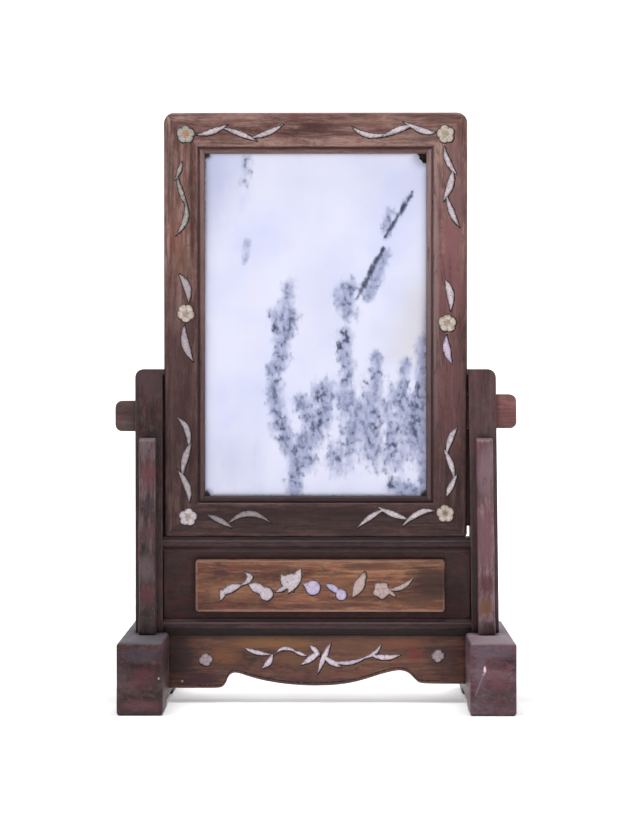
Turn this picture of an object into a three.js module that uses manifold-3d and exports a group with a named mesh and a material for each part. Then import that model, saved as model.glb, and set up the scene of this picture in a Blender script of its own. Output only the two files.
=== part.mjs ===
// Dreamstone table screen: a veined marble slab in a shell-inlaid hardwood frame,
// held upright between the posts of a two-footed stand.
// Millimetres, +Z up, the front faces -Y, the origin is the middle of the underside.

import * as THREE from 'three';
import { mergeVertices } from 'three/addons/utils/BufferGeometryUtils.js';
import Module from 'manifold-3d';

const wasm = await Module();
wasm.setup();

// Driving dimensions

// Gaps between pieces: a housed joint, a hairline between faces that meet, the glue under an inlay.
const fit = { housed: 0.3, hairline: 0.1, glue: 0.2 };

const foot = {
  inward: 4.8, // how far a foot reaches inside the post that it carries
  width: 33.4,
  height: 52.8,
  depth: 140,
  padLength: 36,
  archRise: 5.4,
  archCorner: 4,
  edgeRound: 2.2,
};

const post = {
  besideFrame: 2.25, // clear width on each side of the frame
  width: 20.3,
  depth: 20,
  height: 197,
  cornerRound: 6,
  tenonWide: 12,
  tenonLong: 24,
  rightLean: 2.6, // how far the head of the right post has come inwards
};

const frame = {
  width: 226.5,
  height: 316.8,
  member: 30.5, // outer edge to sight edge
  thickness: 17,
  cornerRound: 8,
  edgeRound: 2.4,
  mitreGap: 0.15,
  shift: -1.2, // the frame stands nearer the left post
};

const moulding = {
  fieldWidth: 21.8, // flat inlaid face, from the outer edge
  shoulderRound: 1.9,
  quirkWide: 0.9,
  quirkDeep: 0.8,
  beadWide: 4.6,
  beadHigh: 1.4,
  backChamfer: 1.5,
};

const tongue = { thick: 6, intoPost: 3, stop: 6.2, groove: 6.4, belowPostTop: 4 };

const peg = {
  thick: 10,
  proud: 15.4,
  cornerRound: 5,
  intoFrame: 3,
  leftDown: 23.7, // below the head of the post
  leftTall: 23,
  rightDown: 18.8,
  rightTall: 25.6,
};

const slab = { thick: 6, housed: 4.5, front: 5.3, chipWide: 5.6, chipTall: 7 };
const backboard = { thick: 3 };

const upperRail = { tall: 11, belowFrame: 0.3, depth: 18.8, edgeRound: 3 };
const lowerRail = { tall: 9.4, depth: 18.8, edgeRound: 3.4 };
const railTenon = { thick: 7, long: 8 };

const ground = { thick: 6, margin: 5.5, housed: 3, borderWide: 4, borderProud: 1.6, borderRound: 6 };
const tablet = { besidePost: 22.1, tall: 39.5, thick: 5.2, bevel: 2.2, cornerRound: 2.6, shift: 2.2 };

const apron = {
  thick: 9,
  setBack: 1.2, // behind the face of the lower rail
  shoulderBottom: 14.2, // underside beside the feet, above the floor
  bellyBottom: 14.6,
  cuspBottom: 24.9,
  shoulderLong: 36.1, // flat stretch beside each foot
  cuspRun: 13, // from shoulder to cusp
  bellyPower: 2.2,
  housed: 3,
};

const spandrel = { thick: 12.2, height: 145.6, reach: 16, topRound: 5, outward: 0.4 };

const inlay = { thick: 1.2, proud: 0.3, clear: 0.7, leafLong: 20, flowerRadius: 6.6, flowerInset: 16.4 };

// Heights and faces that follow from them

const postInner = frame.width / 2 + post.besideFrame;
const footInner = postInner - foot.inward;
const cuspAt = footInner - apron.shoulderLong - apron.cuspRun;
const postTop = foot.height + post.height;
const lowerRailBottom = foot.height + fit.housed;
const lowerRailTop = lowerRailBottom + lowerRail.tall;
const groundTall = tablet.tall + 2 * ground.margin;
const upperRailBottom = lowerRailTop + groundTall;
const upperRailTop = upperRailBottom + upperRail.tall;
const frameBottom = upperRailTop + upperRail.belowFrame;
const frameTop = frameBottom + frame.height;
const frameLeft = frame.shift - frame.width / 2;
const frameRight = frame.shift + frame.width / 2;
const frameFace = -frame.thickness / 2;
const slabFront = frameFace + slab.front;
const backboardFront = slabFront + slab.thick + fit.housed;
const grooveDeep = slab.housed + fit.housed;

// Geometry helpers

const ALONG_Y = new THREE.Matrix4().makeRotationX(Math.PI / 2);
const ALONG_X = new THREE.Matrix4().set(0, 0, 1, 0, 1, 0, 0, 0, 0, 1, 0, 0, 0, 0, 0, 1);

function solidOf(geometry) {
  geometry.deleteAttribute('normal');
  geometry.deleteAttribute('uv');
  const merged = mergeVertices(geometry, 1e-5);
  return new wasm.Manifold(new wasm.Mesh({
    numProp: 3,
    vertProperties: merged.attributes.position.array,
    triVerts: new Uint32Array(merged.index.array),
  }));
}

function geometryOf(solid) {
  const mesh = solid.getMesh();
  const geometry = new THREE.BufferGeometry();
  geometry.setAttribute('position', new THREE.BufferAttribute(new Float32Array(mesh.vertProperties), 3));
  geometry.setIndex(new THREE.BufferAttribute(new Uint32Array(mesh.triVerts), 1));
  geometry.computeVertexNormals();
  return geometry;
}

function shapeOf(points) {
  return new THREE.Shape(points.map(([a, b]) => new THREE.Vector2(a, b)));
}

// A flat piece seen from the front: its outline is (x, z) and it fills y from front to back.
function plate(points, front, back) {
  const options = { depth: back - front, bevelEnabled: false };
  const geometry = new THREE.ExtrudeGeometry(shapeOf(points), options);
  geometry.applyMatrix4(ALONG_Y);
  geometry.translate(0, back, 0);
  return solidOf(geometry);
}

// The same with every edge of both faces rounded over.
function roundedPlate(points, front, back, round, steps) {
  const geometry = new THREE.ExtrudeGeometry(shapeOf(points), {
    depth: back - front - 2 * round,
    bevelThickness: round,
    bevelSize: round,
    bevelOffset: -round,
    bevelSegments: steps,
  });
  geometry.applyMatrix4(ALONG_Y);
  geometry.translate(0, back - round, 0);
  return solidOf(geometry);
}

// A bar along X whose section is drawn as (y, z).
function barAlongX(points, x0, x1) {
  const geometry = new THREE.ExtrudeGeometry(shapeOf(points), { depth: x1 - x0, bevelEnabled: false });
  geometry.applyMatrix4(ALONG_X);
  geometry.translate(x0, 0, 0);
  return solidOf(geometry);
}

// A bar along Z whose section is drawn as (x, y).
function barAlongZ(points, z0, z1) {
  const geometry = new THREE.ExtrudeGeometry(shapeOf(points), { depth: z1 - z0, bevelEnabled: false });
  geometry.translate(0, 0, z0);
  return solidOf(geometry);
}

function block([x0, y0, z0], [x1, y1, z1]) {
  const geometry = new THREE.BoxGeometry(x1 - x0, y1 - y0, z1 - z0);
  geometry.translate((x0 + x1) / 2, (y0 + y1) / 2, (z0 + z1) / 2);
  return solidOf(geometry);
}

function join(solids) {
  return solids.reduce((whole, next) => whole.add(next));
}

// Points on an arc, angles in degrees.
function arc(centreA, centreB, radius, from, to, steps) {
  return Array.from({ length: steps + 1 }, (_, i) => {
    const angle = THREE.MathUtils.degToRad(from + ((to - from) * i) / steps);
    return [centreA + radius * Math.cos(angle), centreB + radius * Math.sin(angle)];
  });
}

function rectangle(x0, z0, x1, z1) {
  return [[x0, z0], [x1, z0], [x1, z1], [x0, z1]];
}

function roundedRectangle(x0, z0, x1, z1, radius, steps = 4) {
  return [
    ...arc(x1 - radius, z0 + radius, radius, -90, 0, steps),
    ...arc(x1 - radius, z1 - radius, radius, 0, 90, steps),
    ...arc(x0 + radius, z1 - radius, radius, 90, 180, steps),
    ...arc(x0 + radius, z0 + radius, radius, 180, 270, steps),
  ];
}

// Mirrors a left-hand solid to the right, or leaves it.
function onSide(side, solid) {
  return side < 0 ? solid : solid.mirror([1, 0, 0]);
}

// The right post and what is fixed to it lean inwards from the top of the foot up.
function leanAt(side, z) {
  return side < 0 ? 0 : (post.rightLean * Math.max(0, z - foot.height)) / post.height;
}

function lean(side, solid) {
  if (side < 0) return solid;
  return solid.warp((vertex) => {
    vertex[0] -= leanAt(side, vertex[2]);
  });
}

// Shell inlay: each piece is a thin plate let into a pocket that follows its outline

const LEAF_STEPS = 5;

// The curved middle line of a leaf, through three points.
function leafSpine({ from, via, to }) {
  const start = new THREE.Vector2(...from);
  const end = new THREE.Vector2(...to);
  const control = new THREE.Vector2(...via).multiplyScalar(2);
  control.addScaledVector(start, -0.5).addScaledVector(end, -0.5);
  return new THREE.QuadraticBezierCurve(start, control, end);
}

// A slender leaf, pointed at both ends.
function leafOutline(shape, grow) {
  const spine = leafSpine(shape);
  const { width } = shape;
  const ends = [0, 1].map((t) => {
    const beyond = (t ? 2 : -2) * grow;
    return spine.getPoint(t).addScaledVector(spine.getTangent(t), beyond);
  });
  const sides = [[], []];
  for (let i = 1; i < LEAF_STEPS; i++) {
    const t = i / LEAF_STEPS;
    const at = spine.getPoint(t);
    const along = spine.getTangent(t);
    const half = (width / 2) * Math.sin(Math.PI * t) + grow;
    sides[0].push([at.x + along.y * half, at.y - along.x * half]);
    sides[1].unshift([at.x - along.y * half, at.y + along.x * half]);
  }
  return [ends[0].toArray(), ...sides[0], ends[1].toArray(), ...sides[1]];
}

// A flower head, or a plain disc when it has no notches.
function flowerOutline({ at, radius, petals, notch, turn }, grow) {
  const steps = petals * 4;
  return Array.from({ length: steps }, (_, i) => {
    const angle = (2 * Math.PI * i) / steps;
    const reach = radius * (1 - notch * (0.5 - 0.5 * Math.cos(petals * angle))) + grow;
    const heading = angle + THREE.MathUtils.degToRad(turn);
    return [at[0] + reach * Math.cos(heading), at[1] + reach * Math.sin(heading)];
  });
}

// The pattern is drawn in lengths of a common leaf.
const drawn = (point) => point.map((share) => share * inlay.leafLong);

const leaf = (from, via, to, width) => ({
  outline: leafOutline, from: drawn(from), via: drawn(via), to: drawn(to), width: width * inlay.leafLong,
});
const roundShape = (at, radius, petals, notch, turn) => ({
  outline: flowerOutline, at: drawn(at), radius: radius * inlay.leafLong, petals, notch, turn,
});
const flower = (at, radius, turn) => roundShape(at, radius, 5, 0.2, turn);
const quatrefoil = (at, radius, turn) => roundShape(at, radius, 4, 0.24, turn);
const lobe = (at, radius) => roundShape(at, radius, 3, 0, 0);

// A row of leaves, each after the first springing from the one before it, most of the way along.
function rowOfLeaves(first, ...others) {
  return others.reduce((row, [via, to, width]) => {
    const from = leafSpine(row[row.length - 1]).getPoint(0.8).toArray();
    return [...row, { ...leaf(via, via, to, width), from }];
  }, [first]);
}

// Plates and pocket of one inlay whose shapes are drawn in a face, placed there by a function.
function letIn(name, shapes, place, face) {
  const cut = (grow, front, back) =>
    join(shapes.map((shape) => plate(shape.outline(shape, grow).map(place), front, back)));
  const bed = face + inlay.thick - inlay.proud;
  return {
    name,
    shell: cut(0, face - inlay.proud, bed),
    pocket: cut(inlay.clear, face - 1, bed + fit.glue),
  };
}

// Frame: four mitred members with an inlaid field, a quirk and a bead round the stone

// Section of a member as (inset from the outer edge, y), from the front field round to the back.
function memberSection() {
  const fieldEnd = moulding.fieldWidth;
  const shoulder = moulding.shoulderRound;
  const step = frameFace + shoulder;
  const quirkStart = fieldEnd + shoulder;
  const beadStart = quirkStart + moulding.quirkWide;
  const beadEnd = beadStart + moulding.beadWide;
  const beadFoot = step + moulding.quirkDeep;
  const bead = arc(0, 0, 1, 180, 360, 6).map(([a, b]) => [
    beadStart + ((a + 1) / 2) * moulding.beadWide,
    beadFoot + b * moulding.beadHigh,
  ]);
  const back = frame.thickness / 2;
  const sight = frame.member;
  return [
    [-1, frameFace],
    ...arc(fieldEnd, step, shoulder, -90, 0, 3),
    [quirkStart + fit.hairline, beadFoot],
    ...bead,
    [beadEnd + fit.hairline, beadFoot],
    [sight, beadFoot + moulding.quirkDeep],
    [sight, slabFront - fit.housed],
    [sight - grooveDeep, slabFront - fit.housed],
    [sight - grooveDeep, backboardFront + backboard.thick + fit.housed],
    [sight, backboardFront + backboard.thick + fit.housed],
    [sight - moulding.backChamfer, back],
    [-1, back],
  ];
}

const frameBody = roundedPlate(
  roundedRectangle(frameLeft, frameBottom, frameRight, frameTop, frame.cornerRound),
  frameFace, frame.thickness / 2, frame.edgeRound, 3,
);

// A rail runs along X at the top (+1) or bottom (-1) of the frame.
function frameRail(side) {
  const outer = side > 0 ? frameTop : frameBottom;
  const sight = outer - side * frame.member;
  const gap = frame.mitreGap;
  const section = memberSection().map(([inset, y]) => [y, outer - side * inset]);
  const blank = barAlongX(section, frameLeft, frameRight);
  const mitred = plate([
    [frameLeft + gap, outer], [frameRight - gap, outer],
    [frameRight - gap - frame.member, sight], [frameLeft + gap + frame.member, sight],
  ], -frame.thickness, frame.thickness);
  return blank.intersect(mitred).intersect(frameBody);
}

// A stile runs along Z at the left (-1) or right (+1) of the frame, with a tongue for the post.
function frameStile(side) {
  const outer = side > 0 ? frameRight : frameLeft;
  const sight = outer - side * frame.member;
  const gap = frame.mitreGap;
  const section = memberSection().map(([inset, y]) => [outer - side * inset, y]);
  const blank = barAlongZ(section, frameBottom, frameTop);
  const mitred = plate([
    [outer, frameBottom + gap], [sight, frameBottom + gap + frame.member],
    [sight, frameTop - gap - frame.member], [outer, frameTop - gap],
  ], -frame.thickness, frame.thickness);
  const tongueEnd = side * (postInner + tongue.intoPost);
  const slip = block(
    [Math.min(outer - side * 2, tongueEnd), -tongue.thick / 2, frameBottom + tongue.stop],
    [Math.max(outer - side * 2, tongueEnd), tongue.thick / 2, postTop - tongue.belowPostTop],
  );
  return blank.intersect(mitred).intersect(frameBody).add(slip).subtract(pegBlank(side, fit.housed));
}

// Where each flower of the frame sits: at the corners and half way up each stile.
const inset = inlay.flowerInset;
const frameMiddle = (frameBottom + frameTop) / 2;
const flowerAt = {
  top_left: [frameLeft + inset, frameTop - inset],
  top_right: [frameRight - inset, frameTop - inset],
  bottom_left: [frameLeft + inset + 1.4, frameBottom + inset - 1.6],
  bottom_right: [frameRight - inset, frameBottom + inset + 1.2],
  middle_left: [frameLeft + inset, frameMiddle + 8.8],
  middle_right: [frameRight - inset + 1.4, frameMiddle + 1.3],
};
const flowerTurn = {
  top_left: 90, top_right: 100, bottom_left: 84, bottom_right: 95, middle_left: 54, middle_right: 90,
};

// Sprays of leaves that run from a flower along the frame.
// Each point is (distance along the spray from the edge of the flower, distance across it).
const sprays = [
  { name: 'top_left_rail', from: 'top_left', heading: [1, 0], leaves: rowOfLeaves(
    leaf([0.075, -0.025], [0.675, 0.1], [1.25, 0.375], 0.205),
    [[1.7, 0.025], [2.325, -0.25], 0.195],
    [[2.725, 0.05], [3.325, 0.375], 0.195],
  ) },
  { name: 'top_left_stile', from: 'top_left', heading: [0, -1], leaves: rowOfLeaves(
    leaf([0.675, -0.15], [0.975, -0.22], [1.375, -0.4], 0.16),
    [[1.825, -0.175], [2.375, 0.08], 0.18],
    [[2.825, 0], [3.425, -0.375], 0.215],
  ) },
  { name: 'top_right_rail', from: 'top_right', heading: [-1, 0], leaves: rowOfLeaves(
    leaf([0.05, 0.075], [0.525, 0.125], [1.275, 0.475], 0.225),
    [[1.425, 0.175], [2.075, -0.125], 0.225],
    [[2.575, -0.04], [3.175, 0.3], 0.195],
  ) },
  { name: 'top_right_stile', from: 'top_right', heading: [0, -1], leaves: rowOfLeaves(
    leaf([0.1, -0.05], [0.675, 0.075], [1.175, 0.425], 0.2),
    [[1.55, 0.175], [2.175, -0.1], 0.26],
    [[2.575, 0.225], [3.125, 0.525], 0.215],
  ) },
  { name: 'middle_left_upper', from: 'middle_left', heading: [0, 1], leaves: rowOfLeaves(
    leaf([0.075, 0.1], [0.65, 0.05], [1.15, -0.275], 0.28),
  ) },
  { name: 'middle_left_lower', from: 'middle_left', heading: [0, -1], leaves: rowOfLeaves(
    leaf([0.1, -0.05], [0.8, -0.025], [1.475, 0.28], 0.3),
  ) },
  { name: 'middle_right_upper', from: 'middle_right', heading: [0, 1], leaves: rowOfLeaves(
    leaf([0.125, 0.125], [0.8, 0.1], [1.3, -0.1], 0.28),
  ) },
  { name: 'middle_right_lower', from: 'middle_right', heading: [0, -1], leaves: rowOfLeaves(
    leaf([0.1, -0.025], [0.65, -0.025], [1.2, 0.175], 0.28),
  ) },
  { name: 'bottom_left_stile', from: 'bottom_left', heading: [0, 1], leaves: rowOfLeaves(
    leaf([0.225, 0.05], [0.825, -0.025], [1.475, -0.4], 0.25),
    [[1.9, -0.1], [2.475, 0.15], 0.25],
    [[2.95, -0.025], [3.4, -0.4], 0.23],
  ) },
  { name: 'bottom_left_rail', from: 'bottom_left', heading: [1, 0], leaves: rowOfLeaves(
    leaf([0.375, 0.1], [0.825, -0.1], [1.35, -0.4], 0.225),
    [[1.95, 0.15], [2.8, -0.225], 0.23],
  ) },
  { name: 'bottom_right_stile', from: 'bottom_right', heading: [0, 1], leaves: rowOfLeaves(
    leaf([0.3, 0.05], [0.675, 0.2], [1.15, 0.45], 0.215),
    [[1.55, 0.2], [2.1, -0.07], 0.215],
    [[2.45, 0.175], [2.9, 0.45], 0.23],
  ) },
  { name: 'bottom_right_rail', from: 'bottom_right', heading: [-1, 0], leaves: rowOfLeaves(
    leaf([0.05, 0.1], [0.65, 0.025], [1.275, -0.475], 0.225),
    [[1.625, -0.025], [2.2, 0.25], 0.225],
    [[2.425, -0.1], [2.95, -0.525], 0.195],
  ) },
];

const flowerShare = inlay.flowerRadius / inlay.leafLong;
const movedTo = ([x, z]) => ([a, b]) => [x + a, z + b];

const frameInlays = [
  ...Object.entries(flowerAt).map(([where, at]) =>
    letIn(`flower_${where}`, [flower([0, 0], flowerShare, flowerTurn[where])], movedTo(at), frameFace)),
  ...sprays.map(({ name, from, heading, leaves }) => {
    const [x, z] = flowerAt[from];
    const across = [Math.abs(heading[1]), Math.abs(heading[0])];
    const place = ([beyond, aside]) => {
      const along = inlay.flowerRadius + beyond;
      return [x + along * heading[0] + aside * across[0], z + along * heading[1] + aside * across[1]];
    };
    return letIn(`leaves_${name}`, leaves, place, frameFace);
  }),
];

// Stone and backboard share one groove in the frame

function dreamstone() {
  const x0 = frameLeft + frame.member - slab.housed;
  const x1 = frameRight - frame.member + slab.housed;
  const z0 = frameBottom + frame.member - slab.housed;
  const z1 = frameTop - frame.member + slab.housed;
  const chipX = x1 - slab.housed - slab.chipWide;
  const chipZ = z1 - slab.housed - slab.chipTall;
  return plate([
    [x0, z0], [x1, z0], [x1, chipZ + 1], [x1 - slab.housed, chipZ],
    [x1 - slab.housed - slab.chipWide * 0.35, chipZ + slab.chipTall * 0.22],
    [x1 - slab.housed - slab.chipWide * 0.8, chipZ + slab.chipTall * 0.62],
    [chipX, z1 - slab.housed], [chipX - 1, z1], [x0, z1],
  ], slabFront, slabFront + slab.thick);
}

function backPanel() {
  const outline = rectangle(
    frameLeft + frame.member - slab.housed, frameBottom + frame.member - slab.housed,
    frameRight - frame.member + slab.housed, frameTop - frame.member + slab.housed,
  );
  return plate(outline, backboardFront, backboardFront + backboard.thick);
}

// Stand

// A peg goes through the post from outside and its end enters the edge of the frame.
function pegBlank(side, grow) {
  const top = postTop - (side < 0 ? peg.leftDown : peg.rightDown);
  const tall = side < 0 ? peg.leftTall : peg.rightTall;
  const outer = postInner + post.width + peg.proud;
  const inner = side < 0 ? -frameLeft - peg.intoFrame : frameRight - peg.intoFrame;
  const round = peg.cornerRound;
  const outline = [
    ...arc(-outer + round, top - round, round, 90, 180, 4),
    ...arc(-outer + round, top - tall + round, round, 180, 270, 4),
    [-inner + grow, top - tall], [-inner + grow, top],
  ];
  const straight = grow
    ? block(
      [-outer, -peg.thick / 2 - grow, top - tall - grow],
      [-inner + grow, peg.thick / 2 + grow, top + grow],
    )
    : plate(outline, -peg.thick / 2, peg.thick / 2);
  return lean(side, onSide(side, straight));
}

function standPost(side) {
  const inner = -postInner;
  const outer = inner - post.width;
  const half = post.depth / 2;
  const body = plate([
    [inner, foot.height + fit.hairline], [inner, postTop],
    ...arc(outer + post.cornerRound, postTop - post.cornerRound, post.cornerRound, 90, 180, 4),
    [outer, foot.height + fit.hairline],
  ], -half, half);
  const middle = (inner + outer) / 2;
  const tenonHalf = post.tenonWide / 2;
  const tenon = block(
    [middle - tenonHalf, -tenonHalf, foot.height - post.tenonLong],
    [middle + tenonHalf, tenonHalf, foot.height + 1],
  );
  const tongueHalf = tongue.thick / 2 + fit.housed;
  const groove = block(
    [inner - tongue.groove, -tongueHalf, frameBottom - 1],
    [inner + 1, tongueHalf, postTop + 1],
  );
  const mortise = (half, low, high, deep) =>
    block([inner - deep, -half, low - fit.housed], [inner + 1, half, high + fit.housed]);
  const railHalf = railTenon.thick / 2 + fit.housed;
  const railDeep = railTenon.long + 1;
  const cuts = join([
    groove,
    mortise(railHalf, lowerRailBottom + 1, lowerRailTop, railDeep),
    mortise(railHalf, upperRailBottom, upperRailTop - 1, railDeep),
    mortise(ground.thick / 2 + fit.housed, lowerRailTop, upperRailBottom, ground.housed + 1),
  ]);
  const straight = body.add(tenon).subtract(cuts);
  return lean(side, onSide(side, straight)).subtract(pegBlank(side, fit.housed));
}

// A foot: seen from the side, two pads with a shallow arch between them.
function standFoot(side) {
  const half = foot.depth / 2;
  const archHalf = half - foot.padLength;
  const corner = foot.archCorner;
  const round = foot.edgeRound;
  const profile = [
    [-half, 0], [-archHalf, 0],
    ...arc(-archHalf + corner, foot.archRise - corner, corner, 180, 90, 3),
    ...arc(archHalf - corner, foot.archRise - corner, corner, 90, 0, 3),
    [archHalf, 0], [half, 0],
    ...arc(half - round, foot.height - round, round, 0, 90, 2),
    ...arc(-half + round, foot.height - round, round, 90, 180, 2),
  ];
  const x0 = -footInner - foot.width;
  const x1 = -footInner;
  const frontView = plate(roundedRectangle(x0, 0, x1, foot.height, round, 2), -half, half);
  const body = barAlongX(profile, x0, x1).intersect(frontView);
  const middle = -postInner - post.width / 2;
  const tenonHalf = post.tenonWide / 2 + fit.housed;
  const mortise = block(
    [middle - tenonHalf, -tenonHalf, foot.height - post.tenonLong - 1],
    [middle + tenonHalf, tenonHalf, foot.height + 1],
  );
  return onSide(side, body.subtract(mortise)).subtract(apronBlank(fit.housed));
}

// Rails run from post to post; the right end meets the leaning post.
function standRail(bottom, rail) {
  const half = rail.depth / 2;
  const top = bottom + rail.tall;
  const round = rail.edgeRound;
  const left = -postInner + fit.hairline;
  const right = postInner - leanAt(1, top) - fit.hairline;
  const section = [
    [half, bottom], [-half + 1, bottom], [-half, bottom + 1],
    ...arc(-half + round, top - round, round, 180, 90, 3), [half, top],
  ];
  const tenonHalf = railTenon.thick / 2;
  const tenons = block(
    [left - railTenon.long, -tenonHalf, bottom + 1],
    [right + railTenon.long, tenonHalf, top - 1],
  );
  return barAlongX(section, left, right).add(tenons);
}

function groundPanel() {
  const bottom = lowerRailTop + fit.hairline;
  const top = upperRailBottom - fit.hairline;
  const left = -postInner;
  const right = postInner - leanAt(1, top);
  const half = ground.thick / 2;
  const panel = block([left - ground.housed, -half, bottom], [right + ground.housed, half, top]);
  const wide = ground.borderWide;
  const border = plate(
    rectangle(left + fit.housed, bottom, right - fit.housed, top), -half - ground.borderProud, -half + 1,
  );
  const field = plate(
    roundedRectangle(left + wide, bottom + wide, right - wide, top - wide, ground.borderRound),
    -half - 5, -half,
  );
  return panel.add(border.subtract(field));
}

const tabletMiddle = (lowerRailTop + upperRailBottom) / 2;
const tabletBack = -ground.thick / 2 - fit.hairline;
const tabletFace = tabletBack - tablet.thick;

function raisedTablet() {
  const x0 = tablet.shift - postInner + tablet.besidePost;
  const x1 = tablet.shift + postInner - tablet.besidePost;
  const z0 = tabletMiddle - tablet.tall / 2;
  const z1 = tabletMiddle + tablet.tall / 2;
  const outline = roundedRectangle(x0, z0, x1, z1, tablet.cornerRound, 2);
  return roundedPlate(outline, tabletFace, tabletBack + tablet.bevel, tablet.bevel, 1)
    .intersect(plate(rectangle(x0, z0, x1, z1), tabletFace - 1, tabletBack));
}

const apronFace = -lowerRail.depth / 2 + apron.setBack;
const apronTop = lowerRailBottom - fit.hairline;

// Lower edge of the apron at a distance from the middle: belly, cusp, then a step down to the shoulder.
function apronEdge(x) {
  const from = Math.abs(x);
  if (from <= cuspAt) {
    const rise = (from / cuspAt) ** apron.bellyPower;
    return apron.bellyBottom + rise * (apron.cuspBottom - apron.bellyBottom);
  }
  const run = Math.min(1, (from - cuspAt) / apron.cuspRun);
  const fall = run * run * (3 - 2 * run);
  return apron.cuspBottom - fall * (apron.cuspBottom - apron.shoulderBottom);
}

function apronBlank(grow) {
  const end = footInner + apron.housed + grow;
  const bellySteps = 16;
  const stepSteps = 4;
  const across = [
    ...Array.from({ length: stepSteps }, (_, i) => -cuspAt - apron.cuspRun * (1 - i / stepSteps)),
    ...Array.from({ length: bellySteps + 1 }, (_, i) => cuspAt * ((2 * i) / bellySteps - 1)),
    ...Array.from({ length: stepSteps }, (_, i) => cuspAt + (apron.cuspRun * (i + 1)) / stepSteps),
  ];
  const lower = across.map((x) => [x, apronEdge(x) - grow]);
  const outline = [
    [-end, apron.shoulderBottom - grow], ...lower, [end, apron.shoulderBottom - grow],
    [end, apronTop + grow], [-end, apronTop + grow],
  ];
  return plate(outline, apronFace - grow, apronFace + apron.thick + grow);
}

// Side view of a standing spandrel: its outer edge swells and narrows up to a rounded head.
function spandrelPiece(side, facing) {
  const back = post.depth / 2 + fit.hairline;
  const base = foot.height + fit.hairline;
  const edge = new THREE.SplineCurve([
    [1, 0], [0.98, 0.05], [0.66, 0.13], [0.8, 0.3], [0.92, 0.44], [0.72, 0.62], [0.62, 0.74], [0.74, 0.9],
  ].map(([out, up]) => new THREE.Vector2(back + out * spandrel.reach, base + up * spandrel.height)));
  const head = back + 0.74 * spandrel.reach - spandrel.topRound;
  const outline = [
    [back, base], ...edge.getPoints(18).map((p) => p.toArray()),
    ...arc(head, base + spandrel.height - spandrel.topRound, spandrel.topRound, 0, 90, 3),
    [back, base + spandrel.height],
  ].map(([y, z]) => [facing * y, z]);
  const middle = postInner + post.width / 2 + spandrel.outward;
  const straight = barAlongX(outline, -middle - spandrel.thick / 2, -middle + spandrel.thick / 2);
  return lean(side, onSide(side, straight));
}

// Inlays of the tablet and the apron, as (x, z) from the middle of each

const tabletShapes = {
  tablet_branch_left: [
    leaf([-3.78, -0.38], [-3.365, -0.11], [-2.875, 0.05], 0.31),
    leaf([-3.78, -0.12], [-3.66, -0.31], [-3.73, -0.55], 0.23),
    leaf([-2.86, 0.53], [-2.62, 0.28], [-3, 0.01], 0.24),
  ],
  tablet_bud_left: [
    leaf([-2.7, 0.07], [-2.35, -0.08], [-1.85, -0.28], 0.38),
    lobe([-2.01, -0.3], 0.26),
  ],
  tablet_blossom: [
    leaf([-1.675, -0.24], [-1.4, -0.11], [-1.05, 0.08], 0.17),
    leaf([-1.2, -0.28], [-0.93, 0.2], [-0.72, 0.67], 0.4),
    leaf([-0.98, -0.22], [-1.28, 0.15], [-1.46, 0.42], 0.38),
    lobe([-1.09, 0.19], 0.27),
  ],
  tablet_bud_middle: [
    leaf([-0.66, 0.07], [-0.475, 0.02], [-0.15, -0.08], 0.2),
    lobe([-0.27, -0.07], 0.285),
  ],
  tablet_bud_small: [leaf([0.2, 0.05], [0.48, -0.08], [0.9, -0.38], 0.25), lobe([0.79, -0.335], 0.215)],
  tablet_bud_upright: [
    leaf([1.2, -0.44], [1.45, 0], [1.65, 0.53], 0.42),
    leaf([1.55, 0.15], [1.63, 0.32], [1.69, 0.52], 0.2),
  ],
  tablet_flower: [
    flower([2.3, -0.17], 0.345, 60),
    leaf([2.5, -0.145], [3.05, -0.045], [3.5, 0.31], 0.21),
    leaf([2.47, -0.2], [2.65, -0.26], [2.84, -0.43], 0.16),
  ],
};

const apronShapes = {
  apron_quatrefoil_left: [quatrefoil([-4.17, -0.11], 0.25, 12)],
  apron_leaves_left: [
    leaf([-2.755, 0.345], [-2.27, 0.16], [-1.7, 0.08], 0.175),
    leaf([-1.67, 0.12], [-1.8, -0.185], [-2.06, -0.44], 0.23),
  ],
  apron_twig: [
    leaf([-1.55, 0.11], [-1.23, 0.32], [-0.7, 0.15], 0.15),
    leaf([-0.9, 0.22], [-0.635, 0.12], [-0.37, 0.03], 0.14),
  ],
  apron_leaves_middle: [
    leaf([-0.61, -0.31], [-0.225, -0.05], [0.13, 0.18], 0.25),
    leaf([-0.3, 0.43], [-0.08, 0.25], [0.095, 0.03], 0.2),
  ],
  apron_branch: [
    leaf([0.515, 0.53], [0.26, 0], [0.01, -0.65], 0.21),
    leaf([0.23, 0.03], [0.53, -0.195], [0.89, -0.39], 0.23),
    leaf([0.45, -0.15], [1.19, -0.23], [1.9, 0.03], 0.16),
    leaf([1.65, -0.07], [2.13, 0.13], [2.4, 0.48], 0.15),
    leaf([1.98, 0.08], [2.53, -0.025], [3.13, 0.075], 0.22),
  ],
  apron_quatrefoil_right: [quatrefoil([4.525, 0.035], 0.24, 0)],
};

const tabletInlays = Object.entries(tabletShapes).map(([name, shapes]) =>
  letIn(name, shapes, movedTo([tablet.shift, tabletMiddle]), tabletFace));

const apronMiddle = (apronTop + apron.shoulderBottom) / 2 + 1;
const apronInlays = Object.entries(apronShapes).map(([name, shapes]) =>
  letIn(name, shapes, movedTo([0, apronMiddle]), apronFace));

// Finishes

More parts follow.
